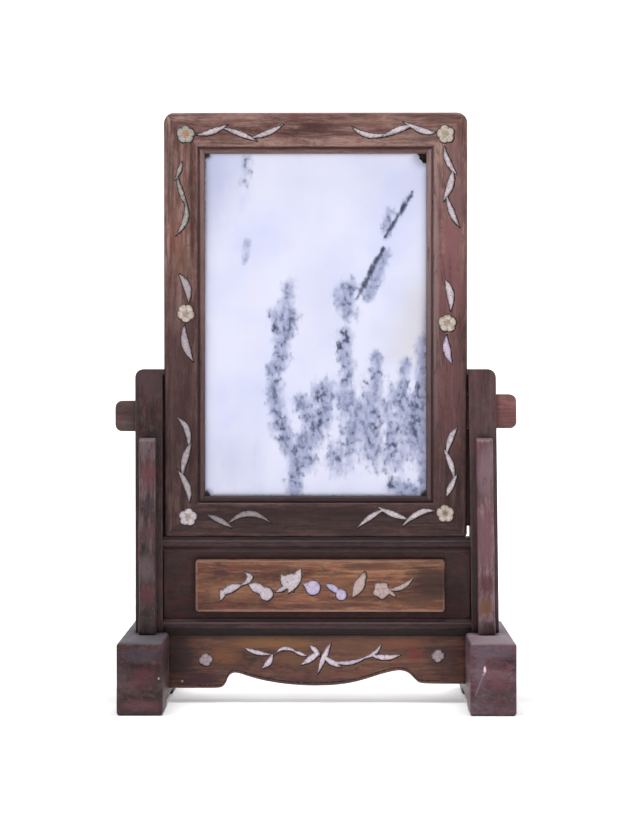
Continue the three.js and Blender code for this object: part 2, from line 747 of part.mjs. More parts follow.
const rosewood = new THREE.MeshStandardMaterial({ color: 0x5a3a36, roughness: 0.5, metalness: 0 });
const darkWood = new THREE.MeshStandardMaterial({ color: 0x432c2b, roughness: 0.5, metalness: 0 });
const goldenWood = new THREE.MeshStandardMaterial({ color: 0x6e4a38, roughness: 0.45, metalness: 0 });
const marble = new THREE.MeshStandardMaterial({ color: 0xdcdcee, roughness: 0.35, metalness: 0 });
const shellFinish = new THREE.MeshStandardMaterial({ color: 0xd8c8cc, roughness: 0.25, metalness: 0 });

// The leaning right peg reaches less far than the left one, so the whole is moved over to stay centred.
const group = new THREE.Group();
group.position.x = leanAt(1, postTop - peg.rightDown - peg.rightTall + peg.cornerRound) / 2;

function addPiece(name, solid, material) {
  const mesh = new THREE.Mesh(geometryOf(solid), material);
  mesh.name = name;
  group.add(mesh);
}

const framePockets = join(frameInlays.map((piece) => piece.pocket));
addPiece('frame_top_rail', frameRail(1).subtract(framePockets), rosewood);
addPiece('frame_bottom_rail', frameRail(-1).subtract(framePockets), rosewood);
addPiece('frame_left_stile', frameStile(-1).subtract(framePockets), rosewood);
addPiece('frame_right_stile', frameStile(1).subtract(framePockets), rosewood);
addPiece('dreamstone_slab', dreamstone(), marble);
addPiece('backboard', backPanel(), darkWood);

for (const [hand, side] of [['left', -1], ['right', 1]]) {
  addPiece(`${hand}_foot`, standFoot(side), darkWood);
  addPiece(`${hand}_post`, standPost(side), darkWood);
  addPiece(`${hand}_peg`, pegBlank(side, 0), rosewood);
  addPiece(`front_${hand}_spandrel`, spandrelPiece(side, -1), darkWood);
  addPiece(`rear_${hand}_spandrel`, spandrelPiece(side, 1), darkWood);
}

addPiece('upper_rail', standRail(upperRailBottom, upperRail), darkWood);
addPiece('lower_rail', standRail(lowerRailBottom, lowerRail), darkWood);
addPiece('ground_panel', groundPanel(), darkWood);
const tabletPockets = join(tabletInlays.map((piece) => piece.pocket));
const apronPockets = join(apronInlays.map((piece) => piece.pocket));
addPiece('raised_tablet', raisedTablet().subtract(tabletPockets), goldenWood);
addPiece('apron', apronBlank(0).subtract(apronPockets), rosewood);

for (const piece of [...frameInlays, ...tabletInlays, ...apronInlays]) {
  addPiece(piece.name, piece.shell, shellFinish);
}

export default group;
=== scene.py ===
"""Looks of the dreamstone table screen: woods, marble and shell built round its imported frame."""

import logging
from collections.abc import Callable
from dataclasses import dataclass, field
from enum import Enum
from math import atan2, cos, dist, pi, radians, sin

import bmesh
import bpy
import numpy as np
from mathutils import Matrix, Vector
from mathutils.geometry import delaunay_2d_cdt


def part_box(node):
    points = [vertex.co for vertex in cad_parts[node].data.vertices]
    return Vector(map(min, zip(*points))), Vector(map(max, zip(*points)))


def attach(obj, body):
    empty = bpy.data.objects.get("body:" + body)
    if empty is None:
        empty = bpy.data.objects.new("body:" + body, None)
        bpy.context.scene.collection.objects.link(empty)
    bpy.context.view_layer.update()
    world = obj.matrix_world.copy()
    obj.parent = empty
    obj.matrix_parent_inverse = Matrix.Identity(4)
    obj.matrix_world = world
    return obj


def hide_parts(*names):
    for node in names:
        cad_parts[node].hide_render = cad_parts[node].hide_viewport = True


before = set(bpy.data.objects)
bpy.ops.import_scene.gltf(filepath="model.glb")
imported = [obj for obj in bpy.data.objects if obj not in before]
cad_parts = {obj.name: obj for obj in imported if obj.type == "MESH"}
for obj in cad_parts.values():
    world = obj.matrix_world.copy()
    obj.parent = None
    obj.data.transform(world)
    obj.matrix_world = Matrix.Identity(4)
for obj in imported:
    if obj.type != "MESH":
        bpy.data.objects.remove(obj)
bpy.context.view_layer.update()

MM = 0.001

Point = tuple[float, float]
Place = tuple[float, float, float]
Colour = Place
Array = np.ndarray
Piece = bpy.types.Object
Material = bpy.types.Material
log = logging.getLogger("table_screen")


def srgb(red: int, green: int, blue: int) -> Colour:
    """The linear colour of a colour given in 0 to 255 steps, as seen on a screen."""
    steps = (value / 255 for value in (red, green, blue))
    return tuple(s / 12.92 if s <= 0.04045 else ((s + 0.055) / 1.055) ** 2.4 for s in steps)


def wood_tones(*steps: tuple[int, int, int]) -> dict[str, Colour]:
    """The dark, middle and light colour of a wood, each given in 0 to 255 steps."""
    return dict(zip(("dark", "middle", "light"), (srgb(*step) for step in steps)))


class Grain(Enum):
    """The way the wood's fibres run, with how much a pattern is stretched in x, y and z."""

    ACROSS_THE_SCREEN = (0.08, 1.0, 1.0)
    FRONT_TO_BACK = (0.35, 0.08, 1.0)
    UPRIGHT = (1.0, 1.0, 0.08)


class Slot(Enum):
    """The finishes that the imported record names."""

    FRAME_WOOD = "frame_wood"
    STAND_WOOD = "stand_wood"
    TABLET_WOOD = "tablet_wood"
    BACKBOARD_WOOD = "backboard_wood"
    MARBLE = "marble"
    SHELL = "shell"


# Shader maths


def math_method(operation: str, reflected: bool = False) -> Callable[["Signal", object], "Signal"]:
    """The method for one Python operator, which adds a Math node.

    Args:
        operation: The node's operation.
        reflected: Whether the signal comes second.

    Returns:
        The method.
    """
    def act(signal: "Signal", other: object) -> "Signal":
        """Adds the node, with the signal second if the operator is reflected."""
        pair = (other, signal) if reflected else (signal, other)
        return signal.graph.node("ShaderNodeMath", {"operation": operation}, dict(enumerate(pair)))

    return act


class Signal:
    """A shader socket that takes part in Python sums, each of which adds a Math node."""

    def __init__(self, graph: "Graph", socket: bpy.types.NodeSocket) -> None:
        """Keeps the socket and the graph that it belongs to."""
        self.graph = graph
        self.socket = socket

    __add__, __radd__ = math_method("ADD"), math_method("ADD", True)
    __sub__, __rsub__ = math_method("SUBTRACT"), math_method("SUBTRACT", True)
    __mul__, __rmul__ = math_method("MULTIPLY"), math_method("MULTIPLY", True)
    __truediv__, __pow__ = math_method("DIVIDE"), math_method("POWER")


class Graph:
    """A material's node tree, with helper methods for the nodes that all finishes use."""

    def __init__(self, name: str) -> None:
        """Makes an empty material with a principled shader on its output.

        Args:
            name: The material's name.
        """
        self.material = bpy.data.materials.new(name)
        self.material.use_nodes = True
        self.tree = self.material.node_tree
        self.tree.nodes.clear()
        output = self.tree.nodes.new("ShaderNodeOutputMaterial")
        self.shader = self.tree.nodes.new("ShaderNodeBsdfPrincipled")
        self.tree.links.new(self.shader.outputs[0], output.inputs["Surface"])
        coordinates = self.node("ShaderNodeTexCoord", out="Object")
        self.place = self.scaled(coordinates, 1 / MM)
        self.x = self.node("ShaderNodeSeparateXYZ", values={0: self.place}, out="X")
        self.y = self.node("ShaderNodeSeparateXYZ", values={0: self.place}, out="Y")
        self.z = self.node("ShaderNodeSeparateXYZ", values={0: self.place}, out="Z")

    def node(
        self,
        kind: str,
        settings: dict[str, object] | None = None,
        values: dict[object, object] | None = None,
        out: int | str = 0,
    ) -> Signal:
        """Adds a node.

        Args:
            kind: The node's type.
            settings: Its own settings, set first. "stops" fills a colour ramp.
            values: Numbers, colours or signals for its inputs, by name or number.
            out: The output to go on with.

        Returns:
            The signal of that output.
        """
        made = self.tree.nodes.new(kind)
        for key, setting in (settings or {}).items():
            if key == "stops":
                self._fill_ramp(made.color_ramp, setting)
            else:
                setattr(made, key, setting)
        for key, value in (values or {}).items():
            self.feed(made.inputs[key], value)
        return Signal(self, made.outputs[out])

    def feed(self, socket: bpy.types.NodeSocket, value: object) -> None:
        """Links a signal to an input, or sets the input's own value.

        Args:
            socket: The input.
            value: A signal, a number, a vector or a colour.
        """
        if isinstance(value, Signal):
            self.tree.links.new(value.socket, socket)
        elif socket.type == "RGBA":
            socket.default_value = (*value[:3], 1.0)
        else:
            socket.default_value = value

    @staticmethod
    def _fill_ramp(ramp: bpy.types.ColorRamp, stops: list[tuple[float, Colour]]) -> None:
        """Gives a colour ramp its stops.

        Args:
            ramp: The ramp.
            stops: Positions from 0 to 1 with their colours.
        """
        while len(ramp.elements) < len(stops):
            ramp.elements.new(0.5)
        for element, (position, colour) in zip(ramp.elements, stops):
            element.position = position
            element.color = (*colour, 1.0)

    def scaled(self, vector: Signal, factor: float) -> Signal:
        """The vector times one number."""
        return self.node("ShaderNodeVectorMath", {"operation": "SCALE"}, {0: vector, "Scale": factor})

    def stretched(self, vector: Signal, factors: Place) -> Signal:
        """The vector times a number for each axis."""
        return self.node("ShaderNodeVectorMath", {"operation": "MULTIPLY"}, {0: vector, 1: factors})

    def moved(self, vector: Signal, shift: object) -> Signal:
        """The vector plus another."""
        return self.node("ShaderNodeVectorMath", {"operation": "ADD"}, {0: vector, 1: shift})

    def noise(self, vector: Signal, scale: float, detail: float = 4.0, rough: float = 0.55) -> Signal:
        """Cloudy noise from 0 to 1 with features of about 1 / scale millimetres."""
        values = {"Vector": vector, "Scale": scale, "Detail": detail, "Roughness": rough}
        return self.node("ShaderNodeTexNoise", values=values)

    def fade(self, value: object, low: float, high: float) -> Signal:
        """A smooth step that is 0 at low and 1 at high.

        Args:
            value: What is measured.
            low: Where the step is 0.
            high: Where it is 1.

        Returns:
            The step. It falls where high is below low.
        """
        settings = {"interpolation_type": "SMOOTHSTEP"}
        values = {"Value": value, "From Min": low, "From Max": high, "To Min": 0.0, "To Max": 1.0}
        if low > high:
            values.update({"From Min": high, "From Max": low, "To Min": 1.0, "To Max": 0.0})
        return self.node("ShaderNodeMapRange", settings, values)

    def blend(self, base: object, over: object, amount: object, mode: str = "MIX") -> Signal:
        """Lays one colour over another by an amount from 0 to 1."""
        settings = {"data_type": "RGBA", "blend_type": mode, "clamp_factor": True}
        return self.node("ShaderNodeMix", settings, {0: amount, 6: base, 7: over}, out=2)

    def ramp(self, value: Signal, stops: list[tuple[float, Colour]]) -> Signal:
        """The colour of a value along a row of colour stops."""
        return self.node("ShaderNodeValToRGB", {"stops": stops}, {0: value})

    def lesser(self, first: Signal, second: object) -> Signal:
        """The smaller of two values."""
        return self.node("ShaderNodeMath", {"operation": "MINIMUM"}, {0: first, 1: second})

    def size_of(self, value: Signal) -> Signal:
        """A value without its sign."""
        return self.node("ShaderNodeMath", {"operation": "ABSOLUTE"}, {0: value})

    def off_line(self, start: Point, end: Point) -> Signal:
        """How far a place lies from a straight line between two points seen from the front.

        Args:
            start: One end as x and z in millimetres.
            end: The other end.

        Returns:
            The distance.
        """
        length = dist(start, end)
        ahead = ((end[0] - start[0]) / length, (end[1] - start[1]) / length)
        across, up = self.x - start[0], self.z - start[1]
        along = across * ahead[0] + up * ahead[1]
        held = self.node("ShaderNodeClamp", values={0: along, 1: 0.0, 2: length})
        return ((across - held * ahead[0]) ** 2 + (up - held * ahead[1]) ** 2) ** 0.5

    def spot(self, centre: Point, reach: Point, ragged: Signal, soft: float = 0.7) -> Signal:
        """A soft, ragged spot seen from the front.

        Args:
            centre: Its x and z in millimetres.
            reach: How far it goes along x and z.
            ragged: Noise that frays its edge.
            soft: The share of the reach over which it fades out.

        Returns:
            1 in the middle of the spot and 0 outside it.
        """
        across = (self.x - centre[0]) / reach[0]
        up = (self.z - centre[1]) / reach[1]
        distance = (across * across + up * up) ** 0.5 + (ragged - 0.5) * 1.6
        return self.fade(distance, 1.0, 1.0 - soft)

    def attribute(self, name: str) -> Signal:
        """A number kept on the mesh."""
        return self.node("ShaderNodeAttribute", {"attribute_name": name}, out="Fac")

    def crevice(self, reach: float) -> Signal:
        """1 on open surfaces, falling to 0 in crevices that are deeper than they are wide."""
        return self.node("ShaderNodeAmbientOcclusion", {"samples": 6}, {"Distance": reach * MM}, out="AO")

    def edge(self, radius: float) -> Signal:
        """0 on flat surfaces, rising to 1 at an edge.

        Args:
            radius: How far from an edge it starts, in millimetres.

        Returns:
            The amount.
        """
        rounded = self.node("ShaderNodeBevel", {"samples": 4}, {"Radius": radius * MM})
        straight = self.node("ShaderNodeNewGeometry", out="Normal")
        settings = {"operation": "DOT_PRODUCT"}
        alike = self.node("ShaderNodeVectorMath", settings, {0: rounded, 1: straight}, out="Value")
        return self.fade(alike, 0.995, 0.8)

    def facing_up(self) -> Signal:
        """How far a surface faces upwards, from 0 to 1."""
        normal = self.node("ShaderNodeNewGeometry", out="Normal")
        return self.fade(self.node("ShaderNodeSeparateXYZ", values={0: normal}, out="Z"), 0.3, 0.95)

    def bump(self, height: Signal, depth: float, strength: float = 1.0) -> Signal:
        """A bump normal for a height of 0 to 1 that stands for so many millimetres."""
        values = {"Height": height, "Distance": depth * MM, "Strength": strength}
        return self.node("ShaderNodeBump", values=values)

    def finish(self, **sockets: object) -> Material:
        """Feeds the shader's own sockets, named with _ for a space, and returns the material.

        Args:
            sockets: Values or signals by the socket's name.

        Returns:
            The material.
        """
        for name, value in sockets.items():
            self.feed(self.shader.inputs[name.replace("_", " ")], value)
        return self.material


# Finishes

# Colour of painted shade in shadowed gaps between parts.
SOOT_BLACK = srgb(16, 9, 11)
# Colour of painted shade in crevices, with dirt there too.
GRIME_BLACK = srgb(20, 12, 13)
# Tint that darkens the wood towards the bottom: partly painted falloff of the light from above, partly
# darker wood.
DEEPENING = (0.35, 0.3, 0.33)


@dataclass(frozen=True)
class Patch:
    """A place on a piece of wood where its colour differs."""

    centre: Point
    reach: Point
    colour: tuple[int, int, int]
    strength: float = 0.7


@dataclass(frozen=True)
class Border:
    """A band along the edges of an upright rectangle in its own colour: painted highlight where lighter,
    painted shade where darker.
    """

    low: Point
    high: Point
    width: float
    colour: Colour
    strength: float = 0.6


@dataclass(frozen=True)
class Soot:
    """Painted shade for a shadowed gap between parts, densest at one height and gone at another."""

    dense: float
    clear: float
    amount: float = 0.6


@dataclass(frozen=True)
class Hardwood:
    """Old waxed rosewood: streaked grain, ink lines, open pores, worn edges, a dusty bloom that is also
    painted sheen, and painted shade in crevices and gaps.
    """

    name: str
    grain: Grain
    dark: Colour
    middle: Colour
    light: Colour
    red: Colour = srgb(98, 48, 44)
    olive: Colour = srgb(88, 72, 58)
    # Dust colour, which on upward faces also stands as painted sheen.
    bloom: Colour = srgb(112, 96, 104)
    bloom_amount: float = 0.25
    worn: Colour = srgb(140, 108, 102)
    worn_amount: float = 0.5
    streak: float = 0.35
    patches: tuple[Patch, ...] = ()
    # A painted band of highlight or shade along the edges, when given.
    border: Border | None = None
    deepened: float = 0.0
    contrast: float = 1.0
    tinting: float = 0.5
    scuffs: float = 0.0
    chips: tuple[Patch, ...] = ()
    scratches: tuple[tuple[Point, Point, float], ...] = ()
    soots: tuple[Soot, ...] = ()
    gloss: float = 0.46
    grime: float = 0.8
    seed: float = 0.0

    def material(self) -> Material:
        """Builds the wood's material.

        Returns:
            The material.
        """
        graph = Graph(self.name)
        start = graph.moved(graph.place, (self.seed * 37.0, self.seed * 53.0, self.seed * 71.0))
        along = graph.stretched(start, self.grain.value)
        slow = tuple(0.3 if share < 0.1 else 1.0 for share in self.grain.value)
        wander = graph.noise(graph.stretched(start, slow), 0.035, 2.0)
        sway = graph.node("ShaderNodeCombineXYZ", values={0: wander, 1: wander, 2: wander})
        bent = graph.moved(along, graph.scaled(sway, 8.0))
        broad = graph.noise(bent, 0.07, 3.0)
        streak = graph.noise(bent, self.streak, 6.0, 0.62)
        fine = graph.noise(bent, 2.1, 5.0, 0.7)
        pores = graph.fade(graph.noise(bent, 5.2, 2.0), 0.6, 0.72)
        cloud = graph.noise(start, 0.05, 4.0, 0.6)
        blotch = graph.noise(graph.moved(start, (90.0, 40.0, 10.0)), 0.11, 4.0, 0.6)
        mottle = graph.noise(graph.stretched(start, slow), 0.3, 6.0, 0.68)
        swing = (broad - 0.5) * 1.3 + (streak - 0.5) * 1.4 + (fine - 0.5) * 0.8 + (mottle - 0.5) * 0.7
        tone = 0.5 + swing * self.contrast
        colour = graph.ramp(tone, [(0.22, self.dark), (0.5, self.middle), (0.8, self.light)])
        colour = graph.blend(colour, self.red, graph.fade(blotch + mottle, 0.98, 1.2) * self.tinting)
        colour = graph.blend(colour, self.olive, graph.fade(blotch + streak, 1.0, 0.76) * self.tinting)
        # A painted band of highlight or shade along the border's edges.
        if self.border is not None:
            colour = graph.blend(colour, self.border.colour, self.band(graph, fine))
        for patch in self.patches:
            spot = graph.spot(patch.centre, patch.reach, cloud * 0.15 + mottle * 0.45 + streak * 0.4)
            colour = graph.blend(colour, srgb(*patch.colour), spot * patch.strength)
        colour = self.inked(graph, colour, bent, cloud)
        colour = graph.blend(colour, self.dark, pores * 0.5)
        open_air = graph.crevice(5.0)
        # Grey dust on upward faces and open places, which also serves as painted sheen where light falls
        # from above.
        film = (graph.facing_up() * 0.8 + graph.fade(cloud, 0.45, 0.8) * 0.5) * self.bloom_amount
        colour = graph.blend(colour, self.bloom, film * open_air)
        rubbed = graph.edge(1.4) * graph.fade(open_air, 0.45, 0.9) * graph.fade(fine, 0.2, 0.6)
        colour = graph.blend(colour, self.worn, rubbed * self.worn_amount)
        if self.scuffs:
            rubs = graph.fade(graph.noise(graph.stretched(start, slow), 0.9, 4.0, 0.7), 0.56, 0.74)
            colour = graph.blend(colour, self.worn, rubs * graph.fade(cloud, 0.35, 0.6) * self.scuffs)
        ahead = graph.fade(graph.y, -3.0, -5.0)
        # Pale marks on front faces: chips in the wood, and on the right foot painted glints.
        for chip in self.chips:
            nick = graph.spot(chip.centre, chip.reach, fine, 0.3)
            colour = graph.blend(colour, srgb(*chip.colour), nick * ahead * chip.strength)
        # Darker towards the bottom: partly painted falloff of the light from above, partly darker wood.
        if self.deepened:
            low = graph.fade(graph.z, 430.0, 130.0) * self.deepened
            colour = graph.blend(colour, DEEPENING, low, "MULTIPLY")
        # Painted reflection lines in the worn colour on front faces.
        for first, last, width in self.scratches:
            near = graph.fade(graph.off_line(first, last) + (fine - 0.5) * 0.8, width, width * 0.3)
            colour = graph.blend(colour, self.worn, near * ahead * 0.6)
        # Painted shade in bands at set heights, where a gap between parts lies in shadow.
        for soot in self.soots:
            layer = graph.fade(graph.z, soot.clear, soot.dense) * (0.7 + fine * 0.6) * soot.amount
            colour = graph.blend(colour, SOOT_BLACK, layer)
        # Painted shade in crevices from the occlusion mask, with dirt there too.
        grime = graph.fade(open_air, 0.8, 0.2)
        colour = graph.blend(colour, GRIME_BLACK, grime * self.grime)
        surface = fine * 0.5 + streak * 0.5 - pores * 0.6
        roughness = self.gloss + (cloud - 0.5) * 0.22 + pores * 0.15 + film * 0.35 - rubbed * 0.1
        return graph.finish(
            Base_Color=colour,
            Roughness=roughness,
            Normal=graph.bump(surface, 0.14, 0.5),
            Specular_IOR_Level=0.28,
        )

    def inked(self, graph: Graph, colour: Signal, bent: Signal, cloud: Signal) -> Signal:
        """Draws the thin dark figure lines that run with the grain.

        Args:
            graph: The material's graph.
            colour: The wood's colour so far.
            bent: Places, shortened along the grain.
            cloud: Slow noise that breaks the lines off.

        Returns:
            The colour with its lines.
        """
        field_noise = graph.noise(graph.moved(bent, (17.0, 31.0, 5.0)), 0.16, 3.0)
        line = graph.fade(graph.size_of(field_noise - 0.5), 0.03, 0.002) * graph.fade(cloud, 0.4, 0.62)
        return graph.blend(colour, self.dark, line * 0.65)

    def band(self, graph: Graph, fine: Signal) -> Signal:
        """Where the painted band of highlight or shade along the border lies.

        Args:
            graph: The material's graph.
            fine: Fine noise that wears the band.

        Returns:
            The amount of the border's colour.
        """
        ends = (
            graph.x - self.border.low[0], self.border.high[0] - graph.x,
            graph.z - self.border.low[1], self.border.high[1] - graph.z,
        )
        nearest = ends[0]
        for end in ends[1:]:
            nearest = graph.lesser(nearest, end)
        inner = graph.fade(nearest, self.border.width + 0.5, self.border.width - 0.5)
        inner = inner * graph.fade(nearest, -0.6, 0.0)
        return inner * (0.6 + fine * 0.6) * self.border.strength


@dataclass(frozen=True)
class VeinedMarble:
    """White marble with slate smoke, laid down by the amounts kept on the slab's mesh."""

    name: str
    ground: Colour = srgb(224, 226, 248)
    cool: Colour = srgb(212, 216, 244)
    milk: Colour = srgb(232, 231, 249)
    blush: Colour = srgb(228, 219, 236)
    ochre: Colour = srgb(214, 205, 192)
    shadow: Colour = srgb(190, 195, 228)
    mist: Colour = srgb(160, 167, 200)
    smoke: Colour = srgb(110, 116, 148)
    slate: Colour = srgb(44, 49, 72)
    veil: Colour = srgb(140, 138, 156)
    dirt: Colour = srgb(38, 34, 38)
    cool_places: tuple[tuple[Point, Point, float], ...] = (
        ((-74, 392), (30, 60), 0.8), ((-62, 180), (34, 40), 0.6),
        ((4, 300), (40, 60), 0.3),
    )
    brush_lines: tuple[tuple[Point, Point, float], ...] = (
        ((72, 382), (67.2, 373), 1.5), ((67.2, 373), (61, 363.4), 2),
        ((61, 363.4), (55.6, 355), 2.4), ((55.6, 355), (51.6, 348.4), 1.8),
        ((50.4, 340), (46.4, 332.6), 1.9), ((46.4, 332.6), (41.3, 322.6), 2.7),
        ((41.3, 322.6), (36.2, 312.4), 2.9), ((36.2, 312.4), (30.6, 302.4), 2),
    )

    def material(self) -> Material:
        """Builds the stone's material.

        Returns:
            The material.
        """
        graph = Graph(self.name)
        cloud = graph.noise(graph.place, 0.012, 3.0)
        drift = graph.noise(graph.stretched(graph.place, (1.0, 1.0, 0.45)), 0.03, 5.0, 0.6)
        colour = graph.ramp(cloud, [(0.35, self.cool), (0.5, self.ground), (0.66, self.milk)])
        colour = graph.blend(colour, self.blush, graph.fade(drift, 0.5, 0.75) * 0.4)
        for centre, reach, strength in self.cool_places:
            colour = graph.blend(colour, self.shadow, graph.spot(centre, reach, drift, 1.0) * strength)
        colour = graph.blend(colour, self.ochre, graph.attribute("ochre") * 0.7)
        leaning = graph.stretched(graph.place, (1.0, 1.0, 0.72))
        grit = graph.noise(leaning, 0.24, 2.0, 0.5)
        speck = graph.noise(leaning, 0.5, 2.0, 0.5)
        wisp = graph.noise(graph.stretched(graph.place, (1.0, 1.0, 0.4)), 0.15, 4.0, 0.55)
        smoke, slate = graph.attribute("smoke"), graph.attribute("slate")
        haze = graph.fade(smoke + (wisp - 0.5) * 1.0 + (grit - 0.5) * 0.5, 0.14, 0.7)
        colour = graph.blend(colour, self.mist, haze * graph.fade(smoke, 0.02, 0.25) * 0.95)
        grains = graph.fade(smoke + (grit - 0.5) * 2.2 + (speck - 0.5) * 1.5, 0.36, 1.2)
        colour = graph.blend(colour, self.smoke, grains * graph.fade(smoke, 0.05, 0.3) * 0.78)
        ink = graph.fade(slate + (grit - 0.5) * 2.4 + (speck - 0.5) * 1.6, 0.5, 1.3)
        colour = graph.blend(colour, self.slate, ink * graph.fade(slate, 0.05, 0.3) * 0.8)
        for start, end, width in self.brush_lines:
            near = graph.off_line(start, end) * (-1.0 / (width + 0.9)) + 1.0
            frayed = near + (wisp - 0.5) * 1.6 + (grit - 0.5) * 1.2 + (speck - 0.5) * 0.8
            edge = graph.fade(frayed, 0.0, 0.9) * graph.fade(near, 0.0, 0.4)
            colour = graph.blend(colour, self.smoke, edge * 0.65)
            line = graph.fade(frayed, 0.4, 1.15) * graph.fade(near, 0.1, 0.5)
            colour = graph.blend(colour, self.slate, line * 0.9)
        # Painted shade along the rim where the frame shadows the stone, with dirt there too: a soft cool
        # veil, then a dark band.
        veil = graph.fade(graph.attribute("stain") + (drift - 0.5) * 0.2, 0.02, 0.4)
        colour = graph.blend(colour, self.veil, veil * 0.55)
        stain = graph.fade(graph.attribute("stain") + (grit - 0.5) * 0.4 + (speck - 0.5) * 0.5, 0.36, 0.9)
        colour = graph.blend(colour, self.dirt, stain)
        scuff = graph.noise(graph.place, 0.9, 6.0, 0.7)
        return graph.finish(
            Base_Color=colour,
            Roughness=0.36 + (cloud - 0.5) * 0.12 + stain * 0.2,
            Normal=graph.bump(scuff, 0.03, 0.35),
            Specular_IOR_Level=0.35,
        )


@dataclass(frozen=True)
class MotherOfPearl:
    """Thin shell: a pale body with drifting lustre, fine growth lines and a soiled rim."""

    name: str
    body: Colour = srgb(226, 208, 214)
    lustre: Colour = srgb(206, 190, 222)
    shade: Colour = srgb(150, 132, 140)
    gleam: Colour = srgb(232, 224, 226)
    heart: Colour | None = None
    heart_at: Point = (0.0, 0.0)
    shade_amount: float = 0.5

    def material(self) -> Material:
        """Builds the shell's material.

        Returns:
            The material.
        """
        graph = Graph(self.name)
        drift = graph.noise(graph.place, 0.22, 3.0)
        bands = graph.noise(graph.stretched(graph.place, (1.0, 1.0, 2.4)), 0.7, 4.0, 0.6)
        colour = graph.blend(self.body, self.lustre, graph.fade(drift, 0.38, 0.66))
        colour = graph.blend(colour, self.gleam, graph.fade(bands, 0.48, 0.66) * 0.75)
        colour = graph.blend(colour, self.shade, graph.fade(bands, 0.5, 0.3) * self.shade_amount)
        if self.heart is not None:
            spot = graph.spot(self.heart_at, (3.6, 3.6), bands, 0.8)
            colour = graph.blend(colour, self.heart, spot * 0.9)
        soil = graph.noise(graph.moved(graph.place, (40.0, 70.0, 20.0)), 0.42, 4.0, 0.65)
        colour = graph.blend(colour, srgb(104, 84, 78), graph.fade(soil, 0.54, 0.68) * 0.55)
        colour = graph.blend(colour, srgb(84, 64, 58), graph.attribute("crease") * 0.36)
        patchy = graph.fade(soil, 0.36, 0.6)
        colour = graph.blend(colour, self.shade, graph.attribute("thin") * (0.25 + patchy * 0.6))
        colour = graph.blend(colour, srgb(50, 38, 38), graph.attribute("rim") * (0.3 + patchy * 0.6))
        lines = graph.noise(graph.stretched(graph.place, (2.0, 1.0, 3.0)), 2.6, 3.0)
        return graph.finish(
            Base_Color=colour,
            Roughness=0.3 + (bands - 0.5) * 0.2,
            Normal=graph.bump(lines, 0.04, 0.4),
            Coat_Weight=0.25,
        )


@dataclass(frozen=True)
class Filler:
    """Dark lacquer putty in the pockets round the shell."""

    name: str

    def material(self) -> Material:
        """Builds the putty's material.

        Returns:
            The material.
        """
        graph = Graph(self.name)
        lumps = graph.noise(graph.place, 0.8, 4.0, 0.6)
        colour = graph.ramp(
            lumps, [(0.42, srgb(12, 8, 9)), (0.52, srgb(46, 32, 32)), (0.6, srgb(98, 70, 64))])
        return graph.finish(Base_Color=colour, Roughness=0.7, Normal=graph.bump(lumps, 0.1, 0.6))


@dataclass(frozen=True)
class StudioPaper:
    """Plain pale paper under and behind the screen."""

    name: str

    def material(self) -> Material:
        """Builds the paper's material.

        Returns:
            The material.
        """
        graph = Graph(self.name)
        away = (graph.x * graph.x + graph.y * graph.y) ** 0.5
        glow = graph.blend((0.14, 0.14, 0.14), (0.75, 0.75, 0.75), graph.fade(away, 300.0, 1500.0))
        return graph.finish(
            Base_Color=(0.93, 0.93, 0.93), Roughness=0.9, Emission_Color=glow, Emission_Strength=1.0)


# Mesh work


def object_of(name: str, mesh: bpy.types.Mesh) -> Piece:
    """An object at the origin that shows a mesh.

    Args:
        name: Its name.
        mesh: Its mesh.

    Returns:
        The object.
    """
    made = bpy.data.objects.new(name, mesh)
    bpy.context.scene.collection.objects.link(made)
    return made


def mesh_of(name: str, build: bmesh.types.BMesh) -> Piece:
    """Closes a bmesh into an object, with its faces outwards.

    Args:
        name: The object's name.
        build: The shape, which is freed.

    Returns:
        The object.
    """
    bmesh.ops.recalc_face_normals(build, faces=build.faces)
    mesh = bpy.data.meshes.new(name)
    build.to_mesh(mesh)
    build.free()
    return object_of(name, mesh)


def welded(node: str) -> bmesh.types.BMesh:
    """A merged copy of a CAD node with its flat faces whole.

    Args:
        node: The node's name.

    Returns:
        The copy.
    """
    build = bmesh.new()
    build.from_mesh(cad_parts[node].data)
    bmesh.ops.remove_doubles(build, verts=build.verts, dist=2e-6)
    bmesh.ops.dissolve_limit(build, angle_limit=radians(0.4), verts=build.verts, edges=build.edges)
    return build


def span(node: str) -> tuple[Vector, Vector]:
    """Lowest and highest corner of a CAD node in millimetres."""
    low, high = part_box(node)
    return low / MM, high / MM


def prism(name: str, outline: list[Point], front: float, back: float) -> Piece:
    """A plate whose outline is drawn in x and z, from y = front to y = back, in millimetres.

    Args:
        name: The plate's name.
        outline: Its outline.
        front: Its foremost y.
        back: Its rearmost y.

    Returns:
        The plate.
    """
    build = bmesh.new()
    rings = [[build.verts.new((x * MM, y * MM, z * MM)) for x, z in outline] for y in (front, back)]
    count = len(outline)
    for i in range(count):
        j = (i + 1) % count
        build.faces.new((rings[0][i], rings[0][j], rings[1][j], rings[1][i]))
    build.faces.new(rings[0])
    build.faces.new(rings[1][::-1])
    return mesh_of(name, build)


def brick(name: str, low: Place, high: Place) -> Piece:
    """A block between two corners, in millimetres."""
    outline = [(low[0], low[2]), (high[0], low[2]), (high[0], high[2]), (low[0], high[2])]
    return prism(name, outline, low[1], high[1])


